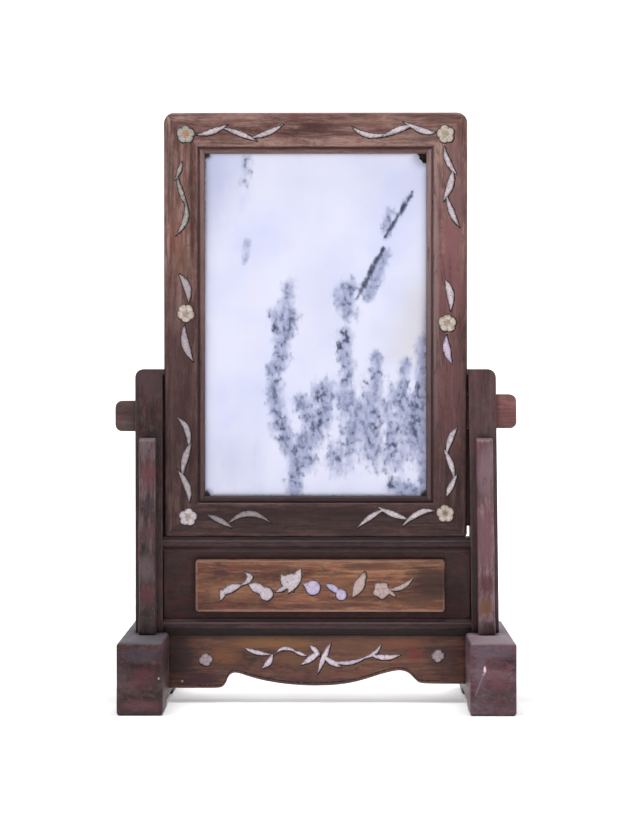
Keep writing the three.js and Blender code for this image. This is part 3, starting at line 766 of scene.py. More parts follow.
def rounded_rectangle(
    low: Point, high: Point, radius: float, lower: float | None = None, steps: int = 10,
) -> list[Point]:
    """A rectangle with round corners, drawn anticlockwise, whose lower corners may be tighter.

    Args:
        low: Its lower left corner.
        high: Its upper right corner.
        radius: The radius of the corners.
        lower: That of the lower two, if it differs.
        steps: How many chords each corner has.

    Returns:
        The outline.
    """
    below = radius if lower is None else lower
    corners = [
        (high[0] - radius, high[1] - radius, 0, radius),
        (low[0] + radius, high[1] - radius, 90, radius),
        (low[0] + below, low[1] + below, 180, below),
        (high[0] - below, low[1] + below, 270, below),
    ]
    return [
        (x + size * cos(radians(start + 90 * i / steps)),
         z + size * sin(radians(start + 90 * i / steps)))
        for x, z, start, size in corners for i in range(steps + 1)
    ]


def arc_between(start: Point, end: Point, sag: float, steps: int = 5) -> list[Point]:
    """A curve between two points that bows by so much towards larger y.

    Args:
        start: Where it starts.
        end: Where it ends.
        sag: How far it bows.
        steps: How many chords it has.

    Returns:
        The curve's points.
    """
    return [
        (start[0] + (end[0] - start[0]) * t + sag * sin(pi * t),
         start[1] + (end[1] - start[1]) * t)
        for t in (i / steps for i in range(steps + 1))
    ]


def lofted(name: str, rings: list[tuple[float, list[Point]]]) -> Piece:
    """A closed plate through outlines of equal counts at given depths, in millimetres.

    Args:
        name: The plate's name.
        rings: Each depth with its outline.

    Returns:
        The plate.
    """
    build = bmesh.new()
    made = [[build.verts.new((x * MM, y * MM, z * MM)) for x, z in ring] for y, ring in rings]
    count = len(made[0])
    for lower, upper in zip(made, made[1:]):
        for i in range(count):
            j = (i + 1) % count
            build.faces.new((lower[i], lower[j], upper[j], upper[i]))
    build.faces.new(made[0])
    build.faces.new(made[-1][::-1])
    return mesh_of(name, build)


def backed(build: bmesh.types.BMesh, depth: float) -> None:
    """Closes an open front sheet with walls and a flat back.

    Args:
        build: The sheet.
        depth: The back's y in millimetres.
    """
    edges = [e for e in build.edges if len(e.link_faces) == 1]
    swept = bmesh.ops.extrude_edge_only(build, edges=edges)["geom"]
    for vertex in (g for g in swept if isinstance(g, bmesh.types.BMVert)):
        vertex.co.y = depth * MM
    bmesh.ops.holes_fill(build, edges=[e for e in build.edges if len(e.link_faces) == 1])


def faced_outwards(piece: Piece) -> None:
    """Turns the faces of a closed piece outwards.

    Args:
        piece: The piece.
    """
    build = bmesh.new()
    build.from_mesh(piece.data)
    bmesh.ops.recalc_face_normals(build, faces=build.faces)
    build.to_mesh(piece.data)
    build.free()


def plain(piece: Piece) -> Piece:
    """Applies every modifier of a piece to its mesh.

    Args:
        piece: The piece.

    Returns:
        The same piece.
    """
    graph = bpy.context.evaluated_depsgraph_get()
    done = bpy.data.meshes.new_from_object(piece.evaluated_get(graph))
    piece.modifiers.clear()
    piece.data = done
    return piece


def cut(piece: Piece, tool: Piece, operation: str = "DIFFERENCE") -> None:
    """Cuts a piece with a tool, joins them or keeps what they share, and drops the tool.

    Args:
        piece: The piece.
        tool: The tool, which is removed.
        operation: DIFFERENCE, UNION or INTERSECT.
    """
    if piece.data.materials and not tool.data.materials:
        tool.data.materials.append(piece.data.materials[0])
    change = piece.modifiers.new("cut", "BOOLEAN")
    change.operation = operation
    change.solver = "MANIFOLD"
    change.material_mode = "TRANSFER"
    change.object = tool
    plain(piece)
    bpy.data.objects.remove(tool)


def eased(piece: Piece, width: float, segments: int = 2, angle: float = 28.0) -> None:
    """Rounds the sharp edges of a piece by so many millimetres.

    Args:
        piece: The piece.
        width: The width of the rounding.
        segments: How many strips it has.
        angle: Edges flatter than this stay, in degrees.
    """
    change = piece.modifiers.new("ease", "BEVEL")
    change.width = width * MM
    change.segments = segments
    change.limit_method = "ANGLE"
    change.angle_limit = radians(angle)
    plain(piece)


def smoothed(piece: Piece, angle: float = 32.0) -> None:
    """Shades a piece smooth, except across sharp edges."""
    piece.data.shade_smooth()
    piece.data.set_sharp_from_angle(angle=radians(angle))


def settled(piece: Piece, node: str, slot: Slot) -> Piece:
    """Lets a finished piece stand for a CAD node.

    Args:
        piece: The finished piece.
        node: The node that it replaces.
        slot: The record's finish that it takes.

    Returns:
        The piece.
    """
    piece.name = f"{node}_{slot.value.split('_')[-1]}"
    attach(piece, "root")
    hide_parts(node)
    log.info("%s: %d faces", piece.name, len(piece.data.polygons))
    return piece


def front_outlines(node: str) -> list[list[Point]]:
    """The outlines of a CAD node's front face in millimetres, the widest first.

    Args:
        node: The node's name.

    Returns:
        The outlines. Leaves that touch at a point share one.
    """
    build = bmesh.new()
    build.from_mesh(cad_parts[node].data)
    bmesh.ops.remove_doubles(build, verts=build.verts, dist=2e-6)
    build.verts.index_update()
    build.faces.index_update()
    foremost = min(v.co.y for v in build.verts)
    faces = [f for f in build.faces if f.normal.y < -0.99 and f.calc_center_median().y < foremost + 2e-5]
    places = {v.index: (v.co.x / MM, v.co.z / MM) for v in build.verts}
    inside = {face.index for face in faces}
    steps: dict[int, list[int]] = {}
    for face in faces:
        for loop in face.loops:
            if not any(f.index in inside for f in loop.edge.link_faces if f is not face):
                steps.setdefault(loop.vert.index, []).append(loop.link_loop_next.vert.index)
    build.free()
    outlines = []
    while steps:
        walk = [min(steps)]
        while walk[-1] in steps:
            exits = steps[walk[-1]]
            chosen = exits[0] if len(walk) < 2 else min(
                exits, key=lambda i: turned(places[walk[-2]], places[walk[-1]], places[i]))
            exits.remove(chosen)
            if not exits:
                del steps[walk[-1]]
            walk.append(chosen)
        outlines.append([places[i] for i in walk[:-1]])
    return sorted(outlines, key=lambda outline: abs(signed_area(outline)), reverse=True)


def turned(first: Point, middle: Point, last: Point) -> float:
    """The turn at the middle of three points in radians, negative to the right.

    Args:
        first: The point before.
        middle: The point itself.
        last: The point after.

    Returns:
        The turn.
    """
    ahead = (middle[0] - first[0], middle[1] - first[1])
    after = (last[0] - middle[0], last[1] - middle[1])
    return atan2(ahead[0] * after[1] - ahead[1] * after[0], ahead[0] * after[0] + ahead[1] * after[1])


def softened(outline: list[Point], rounds: int = 2, sharp: float = 50.0) -> list[Point]:
    """Rounds an outline's small facets and keeps its points and notches.

    Args:
        outline: The outline's points.
        rounds: How many times its corners are cut.
        sharp: A turn of more degrees than this stays a corner.

    Returns:
        The finer outline.
    """
    points = np.array(outline, float)
    before = points - np.roll(points, 1, 0)
    after = np.roll(points, -1, 0) - points
    turn = np.arctan2(before[:, 0] * after[:, 1] - before[:, 1] * after[:, 0], (before * after).sum(1))
    kept = np.abs(np.degrees(turn)) > sharp
    for _ in range(rounds):
        following = np.roll(points, -1, 0)
        following_kept = np.roll(kept, -1)
        fresh, fresh_kept = [], []
        for here, there, corner, next_corner in zip(points, following, kept, following_kept):
            fresh.append(here if corner else 0.75 * here + 0.25 * there)
            fresh_kept.append(bool(corner))
            if not next_corner:
                fresh.append(0.25 * here + 0.75 * there)
                fresh_kept.append(False)
        points, kept = np.array(fresh), np.array(fresh_kept)
    return [tuple(p) for p in points]


def softened_line(points: tuple[Point, ...], rounds: int) -> list[Point]:
    """An open line with its corners cut so many times and its ends kept.

    Args:
        points: The line's points.
        rounds: How many cuts.

    Returns:
        The finer line.
    """
    line = np.array(points, float)
    for _ in range(rounds):
        first, last = line[:-1], line[1:]
        cuts = np.stack([0.75 * first + 0.25 * last, 0.25 * first + 0.75 * last], 1).reshape(-1, 2)
        line = np.concatenate([line[:1], cuts[1:-1], line[-1:]])
    return [tuple(p) for p in line]


def grown(outline: list[Point], margin: float, uneven: float, seed: int, cell: float = 0.3) -> list[Point]:
    """The outline of a bed round a plate, which keeps its distance but wanders a little.

    Args:
        outline: The plate's outline.
        margin: The distance in millimetres.
        uneven: How much the distance wanders.
        seed: Which wandering.
        cell: The size of the grid on which the distance is taken.

    Returns:
        The bed's outline.
    """
    rim = np.array(outline)
    low, high = rim.min(0) - margin - 2 * cell - uneven, rim.max(0) + margin + 2 * cell + uneven
    xs, zs = np.arange(low[0], high[0] + cell, cell), np.arange(low[1], high[1] + cell, cell)
    grid = np.stack(np.meshgrid(xs, zs, indexing="ij"), -1).reshape(-1, 2)
    phase = np.random.default_rng(seed).uniform(0, 6.28, 4)
    wave = np.sin(grid[:, 0] * 0.9 + phase[0]) * np.sin(grid[:, 1] * 1.1 + phase[1])
    wave += 0.6 * np.sin(grid[:, 0] * 2.1 + phase[2]) * np.sin(grid[:, 1] * 2.4 + phase[3])
    level = distance_to(rim, grid) * np.where(within(rim, grid), -1, 1) - margin - uneven * wave
    return widest_contour(xs, zs, level.reshape(len(xs), len(zs)))


def widest_contour(xs: Array, zs: Array, level: Array) -> list[Point]:
    """The widest closed line along which a level on a grid passes through 0.

    Args:
        xs: The grid's places along x.
        zs: Its places along z.
        level: The level at each of them, below 0 inside.

    Returns:
        The line's points.
    """
    steps = {}
    for i, j in zip(*np.nonzero(mixed_cells(level < 0))):
        corners = [(i, j), (i + 1, j), (i + 1, j + 1), (i, j + 1)]
        crossed = []
        for number, (a, b) in enumerate(zip(corners, corners[1:] + corners[:1])):
            if (level[a] < 0) != (level[b] < 0):
                crossed.append((level[a] < 0, number, tuple(sorted((a, b)))))
        leaving = [c for c in crossed if c[0]]
        entering = [c for c in crossed if not c[0]]
        for (_, number, edge), (_, _, other) in zip(leaving, entering):
            steps[edge] = other
    best = []
    while steps:
        start, edge = steps.popitem()
        line = [start, edge]
        while edge in steps:
            edge = steps.pop(edge)
            line.append(edge)
        points = []
        for a, b in line[:-1]:
            share = level[a] / (level[a] - level[b])
            points.append((
                float(xs[a[0]] + (xs[b[0]] - xs[a[0]]) * share),
                float(zs[a[1]] + (zs[b[1]] - zs[a[1]]) * share)))
        if len(points) > 3 and (not best or abs(signed_area(points)) > abs(signed_area(best))):
            best = points
    return best


def mixed_cells(inner: Array) -> Array:
    """Which cells of a grid have corners both inside and outside."""
    count = inner[:-1, :-1].astype(int) + inner[1:, :-1] + inner[:-1, 1:] + inner[1:, 1:]
    return (count > 0) & (count < 4)


def signed_area(outline: list[Point]) -> float:
    """Twice the area inside an outline, below zero if it runs clockwise."""
    return sum(x0 * z1 - x1 * z0 for (x0, z0), (x1, z1) in zip(outline, outline[1:] + outline[:1]))


def off_lines(points: Array, starts: Array, ends: Array) -> Array:
    """The distance of each point from the nearest of some straight lines.

    Args:
        points: Points as rows of x and z.
        starts: The start of each line.
        ends: The end of each line.

    Returns:
        One distance for each point.
    """
    nearest = np.full(len(points), 1e9)
    for start, end in zip(starts, ends):
        step = end - start
        share = np.clip(((points - start) @ step) / max(step @ step, 1e-12), 0, 1)
        nearest = np.minimum(nearest, np.linalg.norm(points - start - share[:, None] * step, axis=1))
    return nearest


def distance_to(outline: Array, points: Array) -> Array:
    """The distance of each point from a closed outline."""
    return off_lines(points, outline, np.roll(outline, -1, 0))


def within(outline: Array, points: Array) -> Array:
    """Which points lie inside an outline.

    Args:
        outline: The outline.
        points: The points.

    Returns:
        True for those inside.
    """
    odd = np.zeros(len(points), bool)
    for (x0, z0), (x1, z1) in zip(outline, np.roll(outline, -1, 0)):
        if z0 != z1:
            level = (z0 > points[:, 1]) != (z1 > points[:, 1])
            odd ^= level & (points[:, 0] < (x1 - x0) * (points[:, 1] - z0) / (z1 - z0) + x0)
    return odd


def store(mesh: bpy.types.Mesh, name: str, values: Array) -> None:
    """Keeps one number for each point of a mesh."""
    made = mesh.attributes.new(name, "FLOAT", "POINT")
    made.data.foreach_set("value", values.astype(np.float32))


# Geometry Nodes


class NodeTree:
    """A Geometry Nodes tree that is built in code, with named inputs for its sizes."""

    def __init__(self, name: str, sizes: tuple[str, ...]) -> None:
        """Makes the tree with its geometry and material sockets and one input for each size.

        Args:
            name: The tree's name.
            sizes: The names of its sizes.
        """
        self.tree = bpy.data.node_groups.new(name, "GeometryNodeTree")
        face = self.tree.interface
        face.new_socket("Geometry", in_out="INPUT", socket_type="NodeSocketGeometry")
        self.sockets = {
            size: face.new_socket(size, in_out="INPUT", socket_type="NodeSocketFloat").identifier
            for size in sizes
        }
        finish = face.new_socket("Finish", in_out="INPUT", socket_type="NodeSocketMaterial")
        self.finish_socket = finish.identifier
        face.new_socket("Geometry", in_out="OUTPUT", socket_type="NodeSocketGeometry")
        self.inputs = self.tree.nodes.new("NodeGroupInput")
        self.output = self.tree.nodes.new("NodeGroupOutput")

    def add(
        self,
        kind: str,
        settings: dict[str, object] | None = None,
        links: dict[object, object] | None = None,
    ) -> bpy.types.Node:
        """Adds a node, with its settings and the values or links of its inputs.

        Args:
            kind: The node's type.
            settings: Its own settings, set first.
            links: Values or sockets for its inputs.

        Returns:
            The node.
        """
        made = self.tree.nodes.new(kind)
        for key, value in (settings or {}).items():
            setattr(made, key, value)
        for key, value in (links or {}).items():
            if isinstance(value, bpy.types.NodeSocket):
                self.tree.links.new(value, made.inputs[key])
            else:
                made.inputs[key].default_value = value
        return made

    def sum(self, operation: str, first: object, second: object) -> bpy.types.NodeSocket:
        """One Math node."""
        return self.add("ShaderNodeMath", {"operation": operation}, {0: first, 1: second}).outputs[0]

    def close(self, geometry: bpy.types.NodeSocket) -> None:
        """Ends the tree in real geometry with its finish on it.

        Args:
            geometry: The finished shape.
        """
        real = self.add("GeometryNodeRealizeInstances", links={"Geometry": geometry})
        finish = self.inputs.outputs["Finish"]
        links = {"Geometry": real.outputs[0], "Material": finish}
        dressed = self.add("GeometryNodeSetMaterial", links=links)
        self.tree.links.new(dressed.outputs[0], self.output.inputs[0])

    def apply(self, piece: Piece, finish: Material, **sizes: float) -> None:
        """Runs the tree on a piece and turns the result into its plain mesh.

        Args:
            piece: The piece.
            finish: Its material.
            sizes: Its sizes in millimetres.
        """
        change = piece.modifiers.new("shape", "NODES")
        change.node_group = self.tree
        for size, value in sizes.items():
            change[self.sockets[size]] = value * MM
        change[self.finish_socket] = finish
        piece.update_tag()
        plain(piece)
        piece.data.materials.clear()
        piece.data.materials.append(finish)
        piece.data.polygons.foreach_set("material_index", [0] * len(piece.data.polygons))


def section_tree() -> NodeTree:
    """A tree that draws a flat section out into a bar along x, with ends mitred towards z = 0.

    Returns:
        The tree.
    """
    made = NodeTree("drawn_section", ("Half", "Mitre"))
    half, mitre = made.inputs.outputs["Half"], made.inputs.outputs["Mitre"]
    section = made.inputs.outputs["Geometry"]
    length = made.sum("MULTIPLY", half, 2.0)
    along = made.add("ShaderNodeCombineXYZ", links={"X": length})
    drawn = made.add("GeometryNodeExtrudeMesh", {"mode": "FACES"}, {
        "Mesh": section, "Offset": along.outputs[0], "Individual": False})
    turned = made.add("GeometryNodeFlipFaces", links={"Mesh": section})
    both = made.add("GeometryNodeJoinGeometry")
    made.tree.links.new(turned.outputs[0], both.inputs[0])
    made.tree.links.new(drawn.outputs[0], both.inputs[0])
    closed = made.add("GeometryNodeMergeByDistance", links={"Geometry": both.outputs[0], "Distance": 1e-6})
    place = made.add("ShaderNodeSeparateXYZ", links={0: made.add("GeometryNodeInputPosition").outputs[0]})
    centred = made.sum("SUBTRACT", place.outputs["X"], half)
    shorter = made.sum("DIVIDE", made.sum("MULTIPLY", place.outputs["Z"], mitre), MM)
    share = made.sum("SUBTRACT", 1.0, made.sum("DIVIDE", shorter, half))
    position = made.add("ShaderNodeCombineXYZ", links={
        "X": made.sum("MULTIPLY", centred, share), "Y": place.outputs["Y"], "Z": place.outputs["Z"]})
    placed = made.add("GeometryNodeSetPosition", links={
        "Geometry": closed.outputs[0], "Position": position.outputs[0]})
    made.close(placed.outputs[0])
    return made


def groove_tree() -> NodeTree:
    """A tree that runs a round bar along a path, to cut an incised line.

    Returns:
        The tree.
    """
    made = NodeTree("incised_line", ("Radius",))
    path = made.add("GeometryNodeMeshToCurve", links={"Mesh": made.inputs.outputs["Geometry"]})
    round_bar = made.add("GeometryNodeCurvePrimitiveCircle", {"mode": "RADIUS"}, {
        "Resolution": 8, "Radius": made.inputs.outputs["Radius"]})
    swept = made.add("GeometryNodeCurveToMesh", links={
        "Curve": path.outputs[0], "Profile Curve": round_bar.outputs[0], "Fill Caps": True})
    made.close(swept.outputs[0])
    return made


def section_face(name: str, points: list[Point]) -> Piece:
    """A flat face in y and z, ready to be drawn out along x, in millimetres.

    Args:
        name: The face's name.
        points: Points as y and z.

    Returns:
        The face.
    """
    build = bmesh.new()
    build.faces.new([build.verts.new((0.0, y * MM, z * MM)) for y, z in points])
    return mesh_of(name, build)


def path_line(name: str, points: list[Place]) -> Piece:
    """An open line of edges through points, in millimetres.

    Args:
        name: The line's name.
        points: Its points.

    Returns:
        The line.
    """
    mesh = bpy.data.meshes.new(name)
    edges = [(i, i + 1) for i in range(len(points) - 1)]
    mesh.from_pydata([tuple(c * MM for c in p) for p in points], edges, [])
    return object_of(name, mesh)


# Shell inlay


@dataclass
class ShellInlay:
    """One inlaid plate of shell, with a soft dome, a rounded rim and engraved petals."""

    node: str
    tone: MotherOfPearl
    dome: float = 0.32
    rim_width: float = 0.55
    grain_size: float = 0.6
    gap: float = 0.62
    blossom_at: Point = (49.24, 84.35)
    blossom_size: float = 6.9
    outline: list[Point] = field(init=False)

    def __post_init__(self) -> None:
        """Reads the outline of the plate from its CAD node."""
        traced = softened(front_outlines(self.node)[0])
        self.outline = self.petals(traced) if self.is_round else traced
        low, high = span(self.node)
        self.front, self.back = low.y, high.y

    @property
    def is_round(self) -> bool:
        """Whether the plate is a flower seen from above."""
        return self.node.startswith("flower") or "quatrefoil" in self.node

    def petals(self, traced: list[Point]) -> list[Point]:
        """The outline of a flower head with round petals, as large and turned as its node's.

        Args:
            traced: The node's outline.

        Returns:
            The outline with petals.
        """
        rim = np.array(traced)
        centre = rim.mean(0)
        offset = rim - centre
        reach = np.linalg.norm(offset, axis=1)
        count = 4 if "quatrefoil" in self.node else 5
        heading = np.arctan2(offset[:, 1], offset[:, 0])
        turn = np.angle(np.sum((reach - reach.mean()) * np.exp(1j * count * heading))) / count
        angles = np.linspace(0, 2 * pi, 16 * count, endpoint=False)
        shape = 0.82 + 0.18 * np.abs(np.cos(count * angles / 2)) ** 0.7
        radius = reach.max() * 1.02 * shape * (1 + 0.03 * np.sin(angles * 2 + turn * 9))
        return [
            (float(centre[0] + r * cos(a + turn)), float(centre[1] + r * sin(a + turn)))
            for r, a in zip(radius, angles)
        ]

    def pocket(self, seed: int) -> Piece:
        """The cutter for the bed of the plate, a little uneven and larger towards the lower right."""
        room = [(x + 0.22, z - 0.26) for x, z in grown(self.outline, self.gap, 0.24, seed)]
        return prism(f"{self.node}_bed", room, self.front - 2.0, self.back + 0.2)

    def creases(self, points: Array) -> Array:
        """How deep the engraving is at each point, from 0 to 1.

        Args:
            points: Points as x and z.

        Returns:
            The depths.
        """
        if self.is_round:
            rim = np.array(self.outline)
            centre = (rim.min(0) + rim.max(0)) / 2
            reach = np.linalg.norm(rim - centre, axis=1)
            dips = (reach <= np.roll(reach, 1)) & (reach < np.roll(reach, -1)) & (reach < reach.mean())
            headings = [(dip - centre) / np.linalg.norm(dip - centre) for dip in rim[dips]]
            size = reach.max()
        elif self.node == "tablet_flower":
            centre, size = np.array(self.blossom_at), self.blossom_size
            headings = [
                np.array((cos(radians(a)), sin(radians(a)))) for a in range(24, 384, 72)
            ]
        else:
            return np.zeros(len(points))
        offset = points - centre
        radius = np.linalg.norm(offset, axis=1)
        depth = np.exp(-(((radius - 0.3 * size) / 0.32) ** 2)) * 0.8
        for heading in headings:
            ahead = offset @ heading
            aside = np.abs(offset[:, 0] * heading[1] - offset[:, 1] * heading[0])
            line = np.exp(-((aside / 0.32) ** 2)) * (ahead > 0.3 * size) * (ahead < size)
            depth = np.maximum(depth, line)
        return depth

    def build(self) -> Piece:
        """Makes the plate and lets it stand for its node.

        Returns:
            The plate.
        """
        rim = np.array(self.outline)
        low, high = rim.min(0), rim.max(0)
        xs = np.arange(low[0], high[0], self.grain_size)
        zs = np.arange(low[1], high[1], self.grain_size * 0.87)
        grid = np.array([(x + (row % 2) * self.grain_size / 2, z) for row, z in enumerate(zs) for x in xs])
        grid = grid[within(rim, grid) & (distance_to(rim, grid) > 0.24)]
        points = np.concatenate([rim, grid])
        count = len(rim)
        found = delaunay_2d_cdt([Vector(p) for p in points], [], [list(range(count))], 1, 1e-6)
        flat = np.array([tuple(v) for v in found[0]])
        depth = distance_to(rim, flat)
        depth[depth < 1e-6] = 0.0
        crease = self.creases(flat)
        rise = self.dome * (1 - np.exp(-depth / self.rim_width)) - 0.16 * crease * (depth > 0)
        front = self.front + 0.26 - rise
        build = bmesh.new()
        top = [build.verts.new((x * MM, y * MM, z * MM)) for (x, z), y in zip(flat, front)]
        for face in found[2]:
            build.faces.new([top[i] for i in face])
        backed(build, self.back)
        piece = mesh_of(self.node, build)
        behind = np.ones(len(piece.data.vertices) - len(flat))
        store(piece.data, "rim", np.concatenate([np.exp(-depth / 0.3), behind]))
        store(piece.data, "thin", np.concatenate([np.exp(-((depth / 0.85) ** 2)), behind]))
        store(piece.data, "crease", np.concatenate([crease, 0 * behind]))
        piece.data.materials.append(self.tone.material())
        smoothed(piece, 50.0)
        return settled(piece, self.node, Slot.SHELL)


def let_in(piece: Piece, inlays: list[ShellInlay], filler: Material, seed: int) -> None:
    """Cuts the beds of some inlays into a piece and lines them with putty.

    Args:
        piece: The piece.
        inlays: Its inlays.
        filler: The putty.
        seed: Which wandering the first bed has.
    """
    for number, inlay in enumerate(inlays, seed):
        bed = inlay.pocket(number)
        bed.data.materials.append(filler)
        cut(piece, bed)


# Sub-assemblies


ROSEWOOD = wood_tones((70, 42, 40), (121, 87, 81), (158, 126, 116))
STAND_WOOD = wood_tones((31, 18, 20), (57, 37, 40), (86, 62, 64))
APRON_WOOD = wood_tones((58, 36, 34), (96, 64, 56), (128, 88, 68))
TABLET_WOOD = wood_tones((78, 47, 38), (130, 86, 67), (170, 121, 89))


@dataclass
class InlaidFrame:
    """The four mitred members of the frame, with a quirk and a bead round the stone."""

    field_width: float = 23.8
    shoulder: float = 1.7
    quirk_wide: float = 0.9
    quirk_deep: float = 0.8
    bead_wide: float = 3.6
    bead_high: float = 1.4
    member: float = 30.5
    corner_round: float = 8.0
    lower_round: float = 2.8
    edge_round: float = 2.4
    seat: float = 5.0
    groove_deep: float = 4.8
    groove_back: float = 6.4
    tongue: float = 3.0
    peg_room: float = 0.3
    inlays: list[ShellInlay] = field(default_factory=list)

    def __post_init__(self) -> None:
        """Reads the size of the whole frame from its nodes."""
        left, right = span("frame_left_stile"), span("frame_right_stile")
        top, bottom = span("frame_top_rail"), span("frame_bottom_rail")
        self.face, self.rear = top[0].y, top[1].y
        self.high, self.low = top[1].z, bottom[0].z
        self.half_wide = (right[0].x - left[1].x) / 2 + self.member
        self.middle = (right[0].x + left[1].x) / 2

    def profile(self) -> list[Point]:
        """The section as (y, inset from the outer edge), from the front field round to the back.

        Returns:
            The section's points.
        """
        step = self.face + self.shoulder
        quirk = self.field_width + self.shoulder
        bead = quirk + self.quirk_wide
        foot = step + self.quirk_deep
        sight = self.member
        points = [(self.face, -1.0)]
        points += [
            (step - self.shoulder * cos(radians(a)),
             self.field_width + self.shoulder * sin(radians(a)))
            for a in range(0, 91, 15)
        ]
        points += [(foot, quirk + 0.1)]
        points += [
            (foot - self.bead_high * sin(radians(a)),
             bead + self.bead_wide / 2 * (1 - cos(radians(a))))
            for a in range(0, 181, 15)
        ]
        points += [(foot + self.quirk_deep, sight), (self.face + self.seat, sight)]
        groove = sight - self.groove_deep
        points += [(self.face + self.seat, groove), (self.groove_back, groove), (self.groove_back, sight)]
        points += [(self.rear, sight - 1.5), (self.rear, -1.0)]
        return points

    def body(self) -> Piece:
        """The whole frame as a plate with round corners and edges, which trims each member.

        Returns:
            The plate.
        """
        low = (self.middle - self.half_wide, self.low)
        high = (self.middle + self.half_wide, self.high)
        steps = 6
        rings = []
        for i in range(steps + 1):
            angle = radians(90 * i / steps)
            inset = self.edge_round * (1 - sin(angle))
            rings.append((self.face + self.edge_round * (1 - cos(angle)), inset))
        rings += [(self.face + self.rear - y, inset) for y, inset in reversed(rings)]
        return lofted("frame_body", [
            (y, rounded_rectangle(
                (low[0] + inset, low[1] + inset), (high[0] - inset, high[1] - inset),
                self.corner_round - inset, self.lower_round - inset))
            for y, inset in rings
        ])

    def build(self, tree: NodeTree, filler: Material) -> None:
        """Makes the four members, with the beds of the inlays cut into them.

        Args:
            tree: The tree that draws a section out.
            filler: The putty.
        """
        half_tall = (self.high - self.low) / 2
        centre_z = (self.high + self.low) / 2
        outside = self.member - self.bead_wide - 1.0
        inner_low = (self.middle - self.half_wide + outside, self.low + outside)
        inner_high = (self.middle + self.half_wide - outside, self.high - outside)
        for node, upright, side in (
            ("frame_top_rail", False, 1), ("frame_bottom_rail", False, -1),
            ("frame_left_stile", True, -1), ("frame_right_stile", True, 1),
        ):
            half = half_tall if upright else self.half_wide
            # Each member's bead gets a painted band of highlight or shade.
            wood = Hardwood(
                node, Grain.UPRIGHT if upright else Grain.ACROSS_THE_SCREEN,
                **ROSEWOOD, seed=len(node) + side, patches=FRAME_PATCHES.get(node, ()), deepened=1.0,
                worn_amount=0.3,
                border=Border(inner_low, inner_high, self.bead_wide + 1.0, FRAME_BEADS[node], 0.75),
            ).material()
            piece = section_face(node, self.profile())
            tree.apply(piece, wood, Half=half - 0.004, Mitre=1.0)
            for vertex in piece.data.vertices:
                along, y, inset = (c / MM for c in vertex.co)
                if upright:
                    spot = (self.middle + side * (self.half_wide - inset), y, centre_z + along)
                else:
                    spot = (self.middle + along, y, centre_z + side * (half_tall - inset))
                vertex.co = [c * MM for c in spot]
            faced_outwards(piece)
            cut(piece, self.body(), "INTERSECT")
            if upright:
                self.add_tongue(piece, node, side)
            low, high = span(node)
            for number, inlay in enumerate(self.inlays):
                xs, zs = zip(*inlay.outline)
                if max(xs) > low.x and min(xs) < high.x and max(zs) > low.z and min(zs) < high.z:
                    let_in(piece, [inlay], filler, number)
            smoothed(piece)
            settled(piece, node, Slot.FRAME_WOOD)

    def add_tongue(self, piece: Piece, node: str, side: int) -> None:
        """Adds the tongue that slides in the post, and the hole for the peg's end.

        Args:
            piece: The stile.
            node: Its node.
            side: -1 on the left and 1 on the right.
        """
        low, high = span(node)
        post_low, post_high = span("left_post" if side < 0 else "right_post")
        outer = self.middle + side * self.half_wide
        end = low.x if side < 0 else high.x
        ends = sorted((outer - side * 2.0, end))
        start = self.low + (6.2 if side < 0 else 8.0)
        thick, room = self.tongue, self.peg_room
        cut(piece, brick("tongue", (ends[0], -thick, start), (ends[1], thick, post_high.z - 4.0)), "UNION")
        if side < 0:
            strip_low = (post_high.x + 0.1, -thick, self.low + 0.1)
            cut(piece, brick("strip", strip_low, (outer + 2.6, thick, start + 1.0)), "UNION")
        peg_low, peg_high = span("left_peg" if side < 0 else "right_peg")
        reach = sorted((end + side * 1.0, peg_high.x + room if side < 0 else peg_low.x - room))
        hole_low = (reach[0], peg_low.y - room, peg_low.z - room)
        cut(piece, brick("peg_hole", hole_low, (reach[1], peg_high.y + room, peg_high.z + room)))


FRAME_PATCHES: dict[str, tuple[Patch, ...]] = {
    "frame_top_rail": (
        Patch((0, 428), (22, 6), (62, 34, 34), 0.75),
        Patch((38, 434), (30, 4), (128, 98, 84), 0.5),
    ),
    "frame_left_stile": (
        Patch((-104, 352), (8, 30), (126, 72, 56), 0.55),
        Patch((-110, 400), (5, 30), (108, 92, 80), 0.5),
        Patch((-100, 330), (9, 22), (128, 96, 70), 0.45),
        Patch((-108, 300), (6, 60), (92, 50, 48), 0.5),
        Patch((-101, 236), (22, 100), (78, 48, 50), 0.72),
    ),
    "frame_right_stile": (
        Patch((102, 380), (12, 60), (132, 98, 98), 0.6),
        Patch((100, 320), (14, 60), (150, 98, 102), 0.7),
        Patch((100, 230), (14, 60), (148, 98, 100), 0.6),
        # Painted highlight along the right bead, lit from the left.
        Patch((89.5, 300), (3.4, 160), (160, 132, 132), 0.7),
    ),
    "frame_bottom_rail": (
        Patch((0, 136), (120, 18), (72, 46, 48), 0.6),
    ),
}


# Painted highlight on the side beads and painted shade on the top and bottom beads, as the light falls.
FRAME_BEADS = {
    "frame_top_rail": srgb(88, 62, 62),
    "frame_bottom_rail": srgb(72, 54, 58),
    "frame_left_stile": srgb(138, 110, 106),
    "frame_right_stile": srgb(154, 128, 128),
}


@dataclass(frozen=True)
class Stroke:
    """A drift of colour in the stone along a line, wide and soft or narrow and strong."""

    points: tuple[Point, ...]
    width: float
    strength: float


def strokes_of(*rows: tuple) -> tuple[Stroke, ...]:
    """Strokes from rows of a width, a strength and the line's points."""
    return tuple(Stroke(tuple(points), width, strength) for width, strength, *points in rows)


